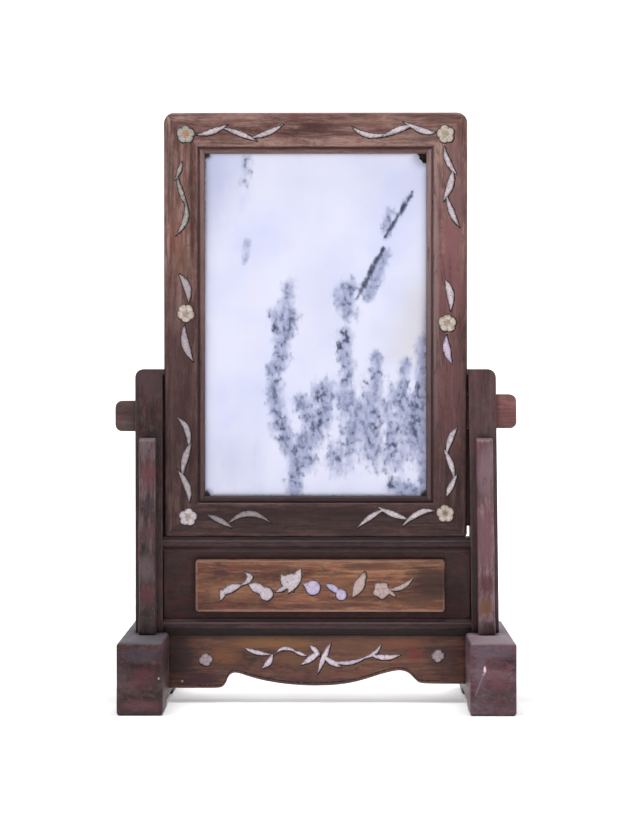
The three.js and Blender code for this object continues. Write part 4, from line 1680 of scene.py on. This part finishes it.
SMOKE = strokes_of(
    (6, 0.4, (-50.4, 410), (-53, 389.4)),
    (3.4, 0.42, (-51, 345), (-53.4, 329.5)),
    (7, 0.55, (-20.4, 312), (-22.1, 299), (-25, 290)),
    (8, 0.7, (-28.5, 288), (-25.5, 273.4), (-24.8, 262.2), (-31.4, 249.3)),
    (7, 0.7, (-17.8, 290), (-18.5, 276)),
    (7.5, 0.7, (-30.6, 239), (-32.6, 230.4), (-28.6, 216.7), (-27.6, 206.4)),
    (8, 0.72, (-23.5, 198.6), (-18.6, 189.2), (-12, 180.6), (-15.2, 166.8), (-16.1, 157)),
    (12, 0.72, (5.8, 232.1), (4.6, 215.8), (-1.5, 202.9), (-8.3, 190.9), (-8.3, 180.6)),
    (9, 0.7, (-9.2, 225.3), (-4.9, 213)),
    (8.5, 0.66, (24.3, 311), (21, 303), (23.5, 292)),
    (3, 0.5, (70.5, 380), (60, 360), (51, 347)),
    (4.6, 0.62, (55.6, 367), (52, 353)),
    (5.4, 0.64, (51.5, 336), (47, 320), (39.5, 305)),
    (6.4, 0.66, (22, 276), (20, 264), (24, 252), (21.8, 238)),
    (6, 0.66, (45.3, 259), (44.1, 232)),
    (6, 0.66, (67, 253), (64.7, 230)),
    (7, 0.66, (80.2, 270), (79.3, 215)),
    (14, 0.6, (20, 230), (30, 214), (24, 196), (16, 182)),
    (16, 0.62, (44, 228), (40, 206), (44, 188)),
    (14, 0.6, (62, 230), (60, 206), (58, 182)),
    (14, 0.8, (76, 226), (75, 196)),
    (8, 0.7, (57.9, 163.4), (72, 158)),
    (6, 0.6, (80.7, 186), (81, 160)),
)

SLATE = strokes_of(
    (2.2, 0.4, (70.6, 379), (62.3, 363), (53, 349)),
    (2.6, 0.45, (50.1, 337.6), (44, 323.2), (33.8, 303.8)),
    (3, 0.45, (49, 330), (43, 308)),
    (3, 0.5, (56, 367), (53.5, 354)),
    (4, 0.95, (21.8, 275.6), (22.4, 272)),
    (4.2, 0.95, (16.2, 268.6), (17.2, 266)),
    (4, 0.62, (23, 261.4), (24, 251.9), (21.8, 239.9)),
    (5, 0.8, (-29.3, 289.5), (-30.2, 281.9)),
    (4.5, 0.66, (-18.5, 286), (-19.5, 280)),
    (5, 0.62, (-25.5, 272), (-24, 262), (-32, 249), (-29.6, 239)),
    (5.5, 0.6, (-33.1, 231), (-28.1, 216.7), (-23.5, 199.6), (-13, 182.6), (-15.2, 164)),
    (6, 0.75, (5.8, 233), (3, 222)),
    (7.5, 0.6, (-5, 216), (6, 212), (-2, 200)),
    (6, 0.62, (-8.3, 190), (-9.5, 180)),
    (5, 0.66, (45, 246), (41.5, 240)),
    (5, 0.5, (66, 240), (62, 224)),
    (8, 0.72, (79.3, 232), (75, 214), (76, 199.5)),
    (5, 0.5, (26.1, 199), (20, 186), (15.7, 182.3)),
    (4, 0.55, (27.8, 179), (28, 176)),
    (7, 0.46, (44, 214), (45, 196), (43.2, 189.2)),
    (7, 0.46, (60, 212), (57, 182)),
    (5, 0.75, (56, 163), (62, 160)),
    (5, 0.7, (72, 157), (82, 160)),
    (4, 0.4, (-50.4, 406), (-52, 392)),
    (5, 0.45, (24.3, 309.5), (24, 295)),
)


@dataclass
class Dreamstone:
    """The marble slab, with its broken corner and the drifts of smoke and slate in its face."""

    cell: float = 1.3
    housed: float = 4.5
    chip_wide: float = 6.6
    chip_tall: float = 7.6

    def drift(self, points: Array, strokes: tuple[Stroke, ...]) -> Array:
        """How much of a drift lies at each point seen from the front, from 0 to 1.

        Args:
            points: Points as x and z.
            strokes: The drift's strokes.

        Returns:
            The amounts.
        """
        amount = np.zeros(len(points))
        for stroke in strokes:
            line = np.array(stroke.points)
            near = off_lines(points, line[:-1], line[1:])
            amount = np.maximum(amount, stroke.strength * np.exp(-((near / stroke.width) ** 2)))
        return amount

    def build(self) -> None:
        """Makes the slab, breaks its corner off and lays the drifts on its points."""
        low, high = span("dreamstone_slab")
        across = max(2, round((high.x - low.x) / self.cell))
        tall = max(2, round((high.z - low.z) / self.cell))
        build = bmesh.new()
        xs = np.linspace(low.x, high.x, across + 1) * MM
        zs = np.linspace(low.z, high.z, tall + 1) * MM
        rows = [[build.verts.new((x, low.y * MM, z)) for x in xs] for z in zs]
        for lower, upper in zip(rows, rows[1:]):
            for i in range(across):
                build.faces.new((lower[i], lower[i + 1], upper[i + 1], upper[i]))
        backed(build, high.y)
        piece = mesh_of("dreamstone", build)
        piece.data.materials.append(VeinedMarble("marble").material())
        cut(piece, self.broken_corner(high))
        points = np.array([(v.co.x, v.co.z) for v in piece.data.vertices]) / MM
        store(piece.data, "smoke", self.drift(points, SMOKE))
        store(piece.data, "slate", self.drift(points, SLATE))
        store(piece.data, "ochre", self.drift(points, (
            Stroke(((70, 268), (80, 300)), 16, 0.6),
            Stroke(((60, 262), (84, 258)), 9, 0.5),
        )))
        store(piece.data, "stain", self.stain(points, low, high))
        smoothed(piece, 30.0)
        settled(piece, "dreamstone_slab", Slot.MARBLE)

    def stain(self, points: Array, low: Vector, high: Vector) -> Array:
        """How much dirt and painted shade lies on the stone at each point: along its rim by the frame, and
        more so in its corners.

        Args:
            points: Points as x and z.
            low: The slab's lowest corner.
            high: Its highest corner.

        Returns:
            The amounts.
        """
        left, right = points[:, 0] - low.x - self.housed, high.x - self.housed - points[:, 0]
        bottom, top = points[:, 1] - low.z - self.housed, high.z - self.housed - points[:, 1]
        upper = np.clip((points[:, 1] - 300.0) / 60.0, 0, 1)
        belt = np.exp(-(((points[:, 1] - 250.0) / 46.0) ** 4))
        amount = np.zeros(len(points))
        for gap, strength, reach in (
            (left, 0.42 + 0.4 * upper, 1.2), (right, 0.34, 1.0), (bottom, 0.66, 1.2), (top, 0.5, 1.0),
            (left, 0.2 + 0.14 * upper, 5.0), (right, 0.26 + 0.36 * belt, 3.4),
        ):
            amount = np.maximum(amount, strength * np.exp(-np.clip(gap, 0, None) / reach))
        for across, up, strength, reach in (
            (left, top, 1.3, 4.4), (left, bottom, 1.2, 5.0),
            (right, bottom, 1.2, 5.6), (right, top, 0.9, 9.0),
        ):
            amount = np.maximum(amount, strength * np.exp(-((np.hypot(across, up) / reach) ** 2)))
        return amount

    def broken_corner(self, high: Vector) -> Piece:
        """The lost corner as a ragged wedge.

        Args:
            high: The slab's highest corner.

        Returns:
            The wedge.
        """
        right, top = high.x - self.housed, high.z - self.housed
        wide, tall = self.chip_wide, self.chip_tall
        breaks = [
            (right + 5.5, top - tall + 1.5), (right, top - tall), (right - 1.2, top - tall + 0.7),
            (right - wide * 0.42, top - tall * 0.92), (right - wide * 0.5, top - tall * 0.7),
            (right - wide * 0.82, top - tall * 0.52), (right - wide * 0.78, top - tall * 0.3),
            (right - wide * 1.0, top), (right - wide - 1.0, top + 5.5), (right + 5.5, top + 5.5),
        ]
        return prism("lost_corner", breaks, -8.0, 8.0)


@dataclass
class Stand:
    """Feet, posts, pegs, spandrels, rails and the sunk panel between them."""

    sections: NodeTree
    hollow: float = 4.3
    bead: float = 5.3
    bead_gap: float = 2.0
    border: float = 1.8
    border_round: float = 8.0
    broken_edge: float = 1.0
    panel_thick: float = 3.0
    tenon_thick: float = 3.5

    def wood(self, node: str, grain: Grain, **changes: object) -> Material:
        """The stand's dark wood for one node, with its grain and any fields that differ."""
        seed = float(sum(map(ord, node)) % 17)
        return Hardwood(node, grain, **{**STAND_WOOD, "seed": seed, **changes}).material()

    def carve(self, node: str, finish: Material, slot: Slot, ease: float) -> Piece:
        """A merged, edge-eased copy of a node in its own finish.

        Args:
            node: The node.
            finish: Its material.
            slot: The record's finish.
            ease: The rounding of its edges in millimetres.

        Returns:
            The piece.
        """
        piece = mesh_of(node, welded(node))
        piece.data.materials.clear()
        piece.data.materials.append(finish)
        eased(piece, ease, 3)
        smoothed(piece)
        return settled(piece, node, slot)

    def build(self) -> None:
        """Makes every piece of the stand."""
        for hand in ("left", "right"):
            self.foot(hand)
            # The lighter patch on the left post is a painted highlight where more of the overhead light
            # falls.
            post = self.wood(
                f"{hand}_post", Grain.UPRIGHT, **(POST_LEFT if hand == "left" else POST_RIGHT),
                patches=(Patch((-124.0, 240.0), (14.0, 20.0), (72, 50, 54), 0.8),),
                bloom_amount=0.3, contrast=0.7)
            self.carve(f"{hand}_post", post, Slot.STAND_WOOD, 0.7)
            peg = self.wood(
                f"{hand}_peg", Grain.ACROSS_THE_SCREEN,
                **(PEG_BROWN if hand == "left" else PEG_RED), bloom_amount=0.3, contrast=0.7)
            self.carve(f"{hand}_peg", peg, Slot.FRAME_WOOD, 0.8)
            for where in ("front", "rear"):
                self.spandrel(f"{where}_{hand}_spandrel")
        self.rail("upper_rail", self.upper_section)
        self.rail("lower_rail", self.lower_section)
        self.ground()

    def inside_right_post(self, height: float) -> float:
        """Where the inner face of the leaning right post is at a height.

        Args:
            height: The height in millimetres.

        Returns:
            The face's x.
        """
        low, high = span("right_post")
        left_low, left_high = span("left_post")
        foot = high.x - (left_high.x - left_low.x)
        ground = span("right_foot")[1].z
        return foot - (foot - low.x) * max(0.0, height - ground) / (high.z - ground)

    def upper_section(self, low: Vector, high: Vector) -> list[Point]:
        """The upper rail's section in y and z: a gap, a bead and a hollow down to the ground panel.

        Args:
            low: The rail's lowest corner.
            high: Its highest corner.

        Returns:
            The section.
        """
        top, bottom = high.z - self.bead_gap, high.z - self.bead_gap - self.bead
        back = low.y + self.bead_gap
        hollow = arc_between((low.y + 1.4, bottom), (low.y + self.hollow, low.z), 0.9)
        front = [(back, high.z), (back, top), *self.half_round(low.y, top, bottom), *hollow]
        return [*front, *self.rail_back(low, high)]

    def lower_section(self, low: Vector, high: Vector) -> list[Point]:
        """The lower rail's section in y and z: a hollow, a bead and a gap above the apron.

        Args:
            low: The rail's lowest corner.
            high: Its highest corner.

        Returns:
            The section.
        """
        bottom, top = low.z + self.bead_gap, low.z + self.bead_gap + self.bead
        back = low.y + self.bead_gap
        hollow = arc_between((low.y + self.hollow, high.z), (low.y + 1.4, top), 0.9)
        front = [*hollow, *self.half_round(low.y, top, bottom), (back, bottom), (back, low.z)]
        return [*front, *self.rail_back(low, high)]

    def rail_back(self, low: Vector, high: Vector) -> list[Point]:
        """The plain back of a rail's section, from its bottom up, with its edges broken.

        Args:
            low: The rail's lowest corner.
            high: Its highest corner.

        Returns:
            The back's points.
        """
        inner = high.y - self.broken_edge
        bottom, top = low.z + self.broken_edge, high.z - self.broken_edge
        return [(inner, low.z), (high.y, bottom), (high.y, top), (inner, high.z)]

    def half_round(self, front: float, top: float, bottom: float) -> list[Point]:
        """The bead of a rail from its top down.

        Args:
            front: Its foremost y.
            top: Its highest z.
            bottom: Its lowest z.

        Returns:
            The bead.
        """
        half, deep = (top - bottom) / 2, self.bead_gap
        return [
            (front + deep - deep * sin(radians(a)), top - half * (1 - cos(radians(a))))
            for a in range(15, 181, 15)
        ]

    def ground(self) -> None:
        """Makes the sunk panel with the rounded border that frames its field."""
        low, high = span("ground_panel")
        left = span("left_post")[1].x + 0.3
        right = self.inside_right_post((low.z + high.z) / 2) - 0.3
        thick = self.panel_thick
        panel = brick("ground", (low.x, -thick, low.z), (high.x, thick, high.z))
        panel.data.materials.append(self.wood(
            "ground_panel", Grain.ACROSS_THE_SCREEN, bloom_amount=0.1, contrast=0.45, tinting=0.25,
            worn_amount=0.15, grime=0.1, **GROUND_WOOD))
        border = brick("border", (left, low.y, low.z), (right, 0.5 - thick, high.z))
        opening = rounded_rectangle(
            (left + self.border, low.z + 0.6), (right - self.border, high.z - 0.6), self.border_round)
        cut(border, prism("field", opening, low.y - 1.0, 0.0))
        cut(panel, border, "UNION")
        eased(panel, 0.35, 2)
        smoothed(panel)
        settled(panel, "ground_panel", Slot.STAND_WOOD)

    def rail(self, node: str, profile: Callable[[Vector, Vector], list[Point]]) -> None:
        """Makes one rail from its section, with its tenons.

        Args:
            node: The rail's node.
            profile: The method that draws its section between two corners.
        """
        low, high = span(node)
        middle = (low.z + high.z) / 2
        left, right = span("left_post")[1].x + 0.05, self.inside_right_post(middle) - 0.05
        section = profile(low, high)
        piece = section_face(node, [(y, z - middle) for y, z in section])
        # Painted shade: in the shadowed gap under the frame on the upper rail, and above the apron on the
        # lower rail.
        soot = Soot(high.z, high.z - 2.4, 0.7)
        if "lower" in node:
            soot = Soot(low.z + 0.6, low.z + 3.6, 0.85)
        wood = self.wood(
            node, Grain.ACROSS_THE_SCREEN, bloom_amount=0.24, worn_amount=0.25, contrast=0.5,
            tinting=0.2, soots=(soot,),
            **RAIL_WOOD)
        self.sections.apply(piece, wood, Half=(right - left) / 2, Mitre=0.0)
        for vertex in piece.data.vertices:
            vertex.co.x += (left + right) / 2 * MM
            vertex.co.z += middle * MM
        faced_outwards(piece)
        thick = self.tenon_thick
        tenons = brick("tenons", (low.x, -thick, low.z + 1.0), (high.x, thick, high.z - 1.0))
        cut(piece, tenons, "UNION")
        smoothed(piece)
        settled(piece, node, Slot.STAND_WOOD)

    def foot(self, hand: str) -> None:
        """Makes one foot, reddish low down and with grey dust and painted sheen on top.

        Args:
            hand: Left or right.
        """
        low, high = span(f"{hand}_foot")
        middle = (low.x + high.x) / 2
        # The grey on top of each foot is dust with painted sheen from the light above.
        if hand == "left":
            shades, bloom = STAND_WOOD, srgb(84, 84, 92)
            patches = (
                Patch((middle, 44), (22, 7), (62, 54, 64), 0.7),
                Patch((middle + 2, 28), (12, 9), (92, 48, 54), 0.7),
                Patch((middle, 7), (20, 6), (104, 58, 66), 0.75),
            )
            chips = (Patch((-112.6, 27.0), (0.8, 1.0), (190, 170, 170), 0.8),)
            scratches = ()
        else:
            shades, bloom = FOOT_RIGHT, srgb(130, 118, 126)
            patches = (
                Patch((middle, 46), (20, 6), (100, 84, 96), 0.7),
                Patch((middle + 4, 26), (13, 12), (104, 56, 64), 0.7),
                Patch((middle - 9, 32), (6, 16), (112, 92, 102), 0.6),
                Patch((middle + 1, 5), (20, 5), (84, 50, 58), 0.7),
            )
            # A painted reflection on the right foot's glossy front face: a pale line with bright spots.
            chips = (Patch((122.2, 33.4), (1.1, 2.6), (232, 202, 210), 0.95),
                     Patch((121.4, 30.4), (1.4, 1.3), (176, 140, 150), 0.7))
            scratches = (((121.2, 30.0), (115.6, 15.5), 0.7),)
        wood = self.wood(
            f"{hand}_foot", Grain.FRONT_TO_BACK, patches=patches, bloom=bloom, bloom_amount=0.8,
            chips=chips, scratches=scratches, scuffs=0.3, worn=srgb(140, 116, 122), **shades)
        self.carve(f"{hand}_foot", wood, Slot.STAND_WOOD, 0.8)

    def spandrel(self, node: str) -> None:
        """Makes one standing spandrel with its mottled bands.

        Args:
            node: The spandrel's node.
        """
        low, high = span(node)
        middle = (low.x + high.x) / 2
        bands = RIGHT_BANDS if "right" in node else LEFT_BANDS
        patches = tuple(
            Patch((middle + aside, (start + end) / 2), (9, (end - start) / 2 + 3), colour, 0.85)
            for start, end, aside, colour in bands
        )
        shades = SPANDREL_RIGHT if "right" in node else SPANDREL_LEFT
        wood = self.wood(
            node, Grain.UPRIGHT, patches=patches, bloom_amount=0.4, scuffs=0.55,
            worn=srgb(142, 118, 122), **shades)
        self.carve(node, wood, Slot.STAND_WOOD, 0.9)


GROUND_WOOD = wood_tones((36, 15, 18), (52, 24, 27), (72, 38, 39))
RAIL_WOOD = wood_tones((29, 15, 18), (50, 30, 33), (78, 54, 57))
PEG_RED = wood_tones((84, 48, 50), (120, 76, 76), (150, 104, 100))
PEG_BROWN = wood_tones((54, 40, 40), (78, 60, 58), (106, 86, 84))
POST_LEFT = wood_tones((28, 16, 18), (46, 29, 32), (70, 50, 53))
POST_RIGHT = wood_tones((42, 26, 30), (70, 48, 52), (94, 70, 74))
FOOT_RIGHT = wood_tones((58, 37, 43), (87, 59, 68), (116, 88, 98))
SPANDREL_LEFT = wood_tones((38, 26, 28), (72, 54, 57), (116, 98, 102))
SPANDREL_RIGHT = wood_tones((58, 38, 42), (98, 70, 76), (142, 110, 118))
LEFT_BANDS = (
    (184, 198, 0, (94, 78, 82)),
    (160, 182, 1, (98, 52, 58)),
    (136, 158, 0, (42, 26, 30)),
    (122, 134, -1, (78, 54, 60)),
    (92, 112, -1, (92, 76, 80)),
    (74, 90, 0, (92, 48, 50)),
    (52, 70, 0, (42, 28, 32)),
)
RIGHT_BANDS = (
    (150, 198, 0, (126, 98, 106)),
    (100, 150, -1, (116, 80, 88)),
    (82, 98, 0, (84, 44, 46)),
    (66, 80, -1, (120, 84, 62)),
    (52, 64, 1, (50, 34, 34)),
)


@dataclass
class Tablet:
    """The lighter raised tablet with its bevelled border and its inlay."""

    bevel: float = 2.6
    corner_round: float = 2.6
    # Width of the painted highlight round the bevel.
    border: float = 1.7
    bed_seed: int = 40
    inlays: list[ShellInlay] = field(default_factory=list)

    def build(self, filler: Material) -> None:
        """Makes the tablet and cuts the beds of its inlays.

        Args:
            filler: The putty.
        """
        low, high = span("raised_tablet")
        rings = []
        steps = 5
        for i in range(steps + 1):
            angle = radians(90 * i / steps)
            inset = self.bevel * (1 - sin(angle))
            rings.append((low.y + self.bevel * 0.8 * (1 - cos(angle)), inset))
        rings.append((high.y, 0.0))
        piece = lofted("raised_tablet", [
            (y, rounded_rectangle(
                (low.x + inset, low.z + inset), (high.x - inset, high.z - inset),
                max(self.corner_round - inset, 0.3)))
            for y, inset in rings
        ])
        patches = (
            Patch((-72, 97), (13, 3.4), (70, 40, 46), 0.85),
            Patch((-40, 102), (40, 3.6), (96, 60, 52), 0.7),
            Patch((44, 102), (40, 4), (86, 54, 48), 0.75),
            Patch((86, 90), (26, 20), (52, 32, 31), 0.85),
            Patch((80, 76), (22, 8), (96, 66, 50), 0.6),
            Patch((10, 73), (60, 2.6), (96, 58, 48), 0.7),
            Patch((-60, 84), (34, 9), (152, 106, 76), 0.5),
            Patch((20, 88), (34, 9), (138, 94, 64), 0.5),
        )
        # The tablet's border band is a painted highlight round its bevel.
        wood = Hardwood(
            "tablet_wood", Grain.ACROSS_THE_SCREEN, **TABLET_WOOD, patches=patches, seed=3.0,
            red=srgb(128, 66, 52), olive=srgb(120, 92, 62), bloom_amount=0.06, worn=srgb(156, 122, 110),
            worn_amount=0.6, streak=0.5, grime=0.3,
            border=Border((low.x, low.z), (high.x, high.z), self.border, srgb(172, 134, 120), 0.75))
        piece.data.materials.append(wood.material())
        let_in(piece, self.inlays, filler, self.bed_seed)
        smoothed(piece)
        settled(piece, "raised_tablet", Slot.TABLET_WOOD)


@dataclass
class Apron:
    """The shaped apron with the line incised along its lower edge and its inlay."""

    ease: float = 0.8
    line_above_edge: float = 2.3
    line_radius: float = 0.42
    step_high: float = 2.6
    step_deep: float = 1.8
    bed_seed: int = 70
    lower_edge: tuple[Point, ...] = (
        (-90, 10.9), (-72.5, 10.9), (-69.2, 12.2), (-66.9, 15.5), (-65.9, 18.9), (-63.8, 21.4),
        (-60.9, 22.6), (-56.8, 21.9), (-49.1, 19.3), (-38.6, 16.5), (-22.8, 13.9), (-7.1, 12.8),
        (4.6, 12.8), (16.1, 13.4), (27, 15), (36.6, 17.5), (48.9, 21.5), (57.2, 23.7),
        (63.3, 24.4), (67.8, 23.4), (71.5, 20.7), (74.5, 17.4), (77.9, 14.4), (95, 14.2),
    )
    inlays: list[ShellInlay] = field(default_factory=list)

    def build(self, tree: NodeTree, filler: Material) -> None:
        """Makes the apron, incises its line and cuts the beds of its inlays.

        Args:
            tree: The tree that runs a bar along a path.
            filler: The putty.
        """
        low, high = span("apron")
        edge = softened_line(self.lower_edge, 2)
        outline = [(low.x, edge[0][1]), *edge, (high.x, edge[-1][1]), (high.x, high.z), (low.x, high.z)]
        piece = prism("apron", outline, low.y, high.y)
        patches = (
            Patch((-34, 45), (50, 7), (138, 94, 58), 0.75),
            Patch((-68, 35), (16, 9), (132, 84, 54), 0.7),
            Patch((-10, 34), (30, 8), (120, 80, 56), 0.6),
            Patch((36, 42), (30, 9), (116, 80, 56), 0.6),
            Patch((66, 45), (22, 6), (134, 78, 58), 0.65),
            Patch((74, 36), (10, 7), (122, 56, 52), 0.6),
            Patch((-102, 34), (17, 24), (54, 38, 40), 0.9),
            Patch((-86, 18), (24, 9), (64, 36, 42), 0.9),
            Patch((98, 30), (18, 22), (72, 48, 48), 0.7),
            Patch((0, 16), (44, 4), (72, 50, 50), 0.7),
        )
        # The apron's top gets painted shade where the lower rail shadows it.
        wood = Hardwood(
            "apron_wood", Grain.ACROSS_THE_SCREEN, **APRON_WOOD, patches=patches, seed=9.0,
            bloom_amount=0.1, streak=0.42,
            red=srgb(118, 58, 50), olive=srgb(112, 82, 58),
            chips=(Patch((-100.0, 16.0), (1.0, 1.0), (190, 170, 168), 0.8),),
            soots=(Soot(53.5, 44.5, 0.9),))
        piece.data.materials.append(wood.material())
        eased(piece, self.ease, 3, 40.0)
        path = [(x, low.y, z + self.line_above_edge) for x, z in edge]
        line = path_line("incised_line", path)
        tree.apply(line, filler, Radius=self.line_radius)
        cut(piece, line)
        step_low = (low.x - 1.0, low.y - 1.0, high.z - self.step_high)
        step_high = (high.x + 1.0, low.y + self.step_deep, high.z + 1.0)
        cut(piece, brick("top_step", step_low, step_high))
        let_in(piece, self.inlays, filler, self.bed_seed)
        smoothed(piece)
        settled(piece, "apron", Slot.FRAME_WOOD)


# Colours of the separate shell plates

PINK = MotherOfPearl("pink_shell", srgb(206, 190, 194), srgb(186, 172, 188), srgb(126, 110, 112))
CREAM = MotherOfPearl(
    "cream_shell", srgb(190, 174, 158), srgb(198, 182, 172), srgb(118, 98, 84), srgb(228, 214, 200))
DULL = MotherOfPearl(
    "dull_shell", srgb(154, 146, 138), srgb(174, 166, 160), srgb(92, 82, 76), srgb(200, 194, 186))
LAVENDER = MotherOfPearl("lavender_shell", srgb(204, 182, 206), srgb(170, 162, 214), srgb(138, 112, 138))
MAUVE = MotherOfPearl(
    "mauve_shell", srgb(176, 152, 156), srgb(160, 142, 156), srgb(108, 86, 90), srgb(206, 188, 188))
GREYED = MotherOfPearl(
    "greyed_shell", srgb(172, 158, 160), srgb(160, 148, 162), srgb(108, 94, 96), srgb(196, 184, 186))
FADED = MotherOfPearl(
    "faded_shell", srgb(142, 128, 130), srgb(132, 120, 130), srgb(88, 76, 78), srgb(168, 156, 158))
BRIGHT = MotherOfPearl(
    "bright_shell", srgb(228, 206, 214), srgb(206, 190, 218), srgb(146, 124, 130), srgb(246, 236, 240))
BEIGE = MotherOfPearl(
    "beige_shell", srgb(194, 166, 156), srgb(178, 150, 152), srgb(122, 92, 84), srgb(222, 200, 192))


def tone_of(node: str) -> MotherOfPearl:
    """The shell that one inlay is cut from.

    Args:
        node: The inlay's node.

    Returns:
        The shell.
    """
    if node.startswith("flower"):
        low, high = span(node)
        centre = ((low.x + high.x) / 2, (low.z + high.z) / 2)
        heart = {
            "flower_top_left": srgb(176, 112, 56), "flower_top_right": srgb(150, 140, 104),
            "flower_bottom_right": srgb(96, 84, 58), "flower_bottom_left": srgb(150, 134, 104),
        }.get(node, srgb(150, 128, 120))
        base = {"flower_bottom_left": PINK, "flower_top_left": DULL}.get(node, CREAM)
        return MotherOfPearl(
            f"{node}_shell", base.body, base.lustre, base.shade, base.gleam, heart, centre)
    for ending, tone in (
        ("leaves_top_left_stile", DULL), ("leaves_middle_right_lower", LAVENDER),
        ("tablet_bud_middle", LAVENDER), ("tablet_bud_small", LAVENDER),
        ("tablet_bud_upright", BEIGE), ("tablet_flower", BEIGE), ("quatrefoil", MAUVE),
        ("leaves_middle_left", GREYED), ("leaves_bottom_left_stile", GREYED),
        ("leaves_bottom_left_rail", FADED), ("apron", BRIGHT),
    ):
        if ending in node:
            return tone
    return PINK


@dataclass
class Studio:
    """Pale paper, soft lights and the camera."""

    eye: Place = (0.01504, -1.628, 0.252)
    pitch: float = 88.92
    yaw: float = 0.42
    lens: float = 95.97
    paper_reach: float = 14.0

    def build(self) -> None:
        """Sets up the paper, the world, the lights and the camera."""
        self.paper()
        self.world()
        self.softbox("overhead", (0.0, -0.1, 2.0), (0.0, -0.1, 0.0), (1.6, 0.34), 37.0)
        self.softbox("front_left", (-1.2, -1.6, 1.5), (0.0, 0.0, 0.3), (1.0, 1.0), 5.0)
        self.softbox("front_right", (1.4, -1.6, 0.9), (0.0, 0.0, 0.3), (1.0, 1.0), 2.6)
        camera = bpy.data.cameras.new("camera")
        camera.lens = self.lens
        camera.sensor_width = 36.0
        camera.clip_start = 0.05
        made = bpy.data.objects.new("camera", camera)
        made.location = self.eye
        made.rotation_euler = (radians(self.pitch), 0.0, radians(self.yaw))
        bpy.context.scene.collection.objects.link(made)
        bpy.context.scene.camera = made

    def paper(self) -> None:
        """Lays a sheet of paper that curves up behind the screen."""
        build = bmesh.new()
        bend, flat, tall = 1.2, 2.4, 4.2
        profile = [(-self.paper_reach, 0.0), (flat, 0.0)]
        profile += [
            (flat + bend * sin(radians(a)), bend * (1 - cos(radians(a))))
            for a in range(9, 91, 9)
        ]
        profile.append((flat + bend, tall))
        sides = (-self.paper_reach, self.paper_reach)
        rows = [[build.verts.new((x, y, z)) for x in sides] for y, z in profile]
        for lower, upper in zip(rows, rows[1:]):
            build.faces.new((lower[0], lower[1], upper[1], upper[0]))
        mesh = bpy.data.meshes.new("paper")
        build.to_mesh(mesh)
        build.free()
        mesh.shade_smooth()
        sheet = object_of("paper", mesh)
        mesh.materials.append(StudioPaper("paper").material())

    def world(self) -> None:
        """Surrounds the scene with even white light."""
        scene = bpy.context.scene
        scene.view_settings.view_transform = "Standard"
        scene.world = bpy.data.worlds.new("studio")
        scene.world.use_nodes = True
        sky = scene.world.node_tree.nodes["Background"]
        sky.inputs["Color"].default_value = (0.97, 0.98, 1.0, 1.0)
        sky.inputs["Strength"].default_value = 0.4

    def softbox(self, name: str, place: Place, aim: Place, size: Point, power: float) -> None:
        """Hangs one soft light that points at a place.

        Args:
            name: The light's name.
            place: Where it hangs.
            aim: What it points at.
            size: Its width and height.
            power: Its power in watts.
        """
        light = bpy.data.lights.new(name, "AREA")
        light.shape = "RECTANGLE"
        light.size, light.size_y = size
        light.energy = power
        made = bpy.data.objects.new(name, light)
        made.location = place
        made.rotation_euler = (Vector(aim) - Vector(place)).to_track_quat("-Z", "Y").to_euler()
        bpy.context.scene.collection.objects.link(made)


def main() -> None:
    """Builds the studio and every piece of the screen."""
    logging.basicConfig(level=logging.INFO, format="%(name)s %(message)s")
    Studio().build()
    filler = Filler("dark_filler").material()
    names = sorted(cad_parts)
    inlays = {
        start: [ShellInlay(n, tone_of(n)) for n in names if n.startswith(start)]
        for start in ("flower_", "leaves_", "tablet_", "apron_")
    }
    sections, grooves = section_tree(), groove_tree()
    InlaidFrame(inlays=inlays["flower_"] + inlays["leaves_"]).build(sections, filler)
    Dreamstone().build()
    Stand(sections).build()
    Tablet(inlays=inlays["tablet_"]).build(filler)
    Apron(inlays=inlays["apron_"]).build(grooves, filler)
    for group in inlays.values():
        for inlay in group:
            inlay.build()
    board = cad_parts["backboard"]
    back = Hardwood("backboard_wood", Grain.UPRIGHT, **STAND_WOOD, seed=5.0)
    board.material_slots[0].material = back.material()
    log.info("backboard: CAD node in its own finish")


if __name__ == "__main__":
    main()
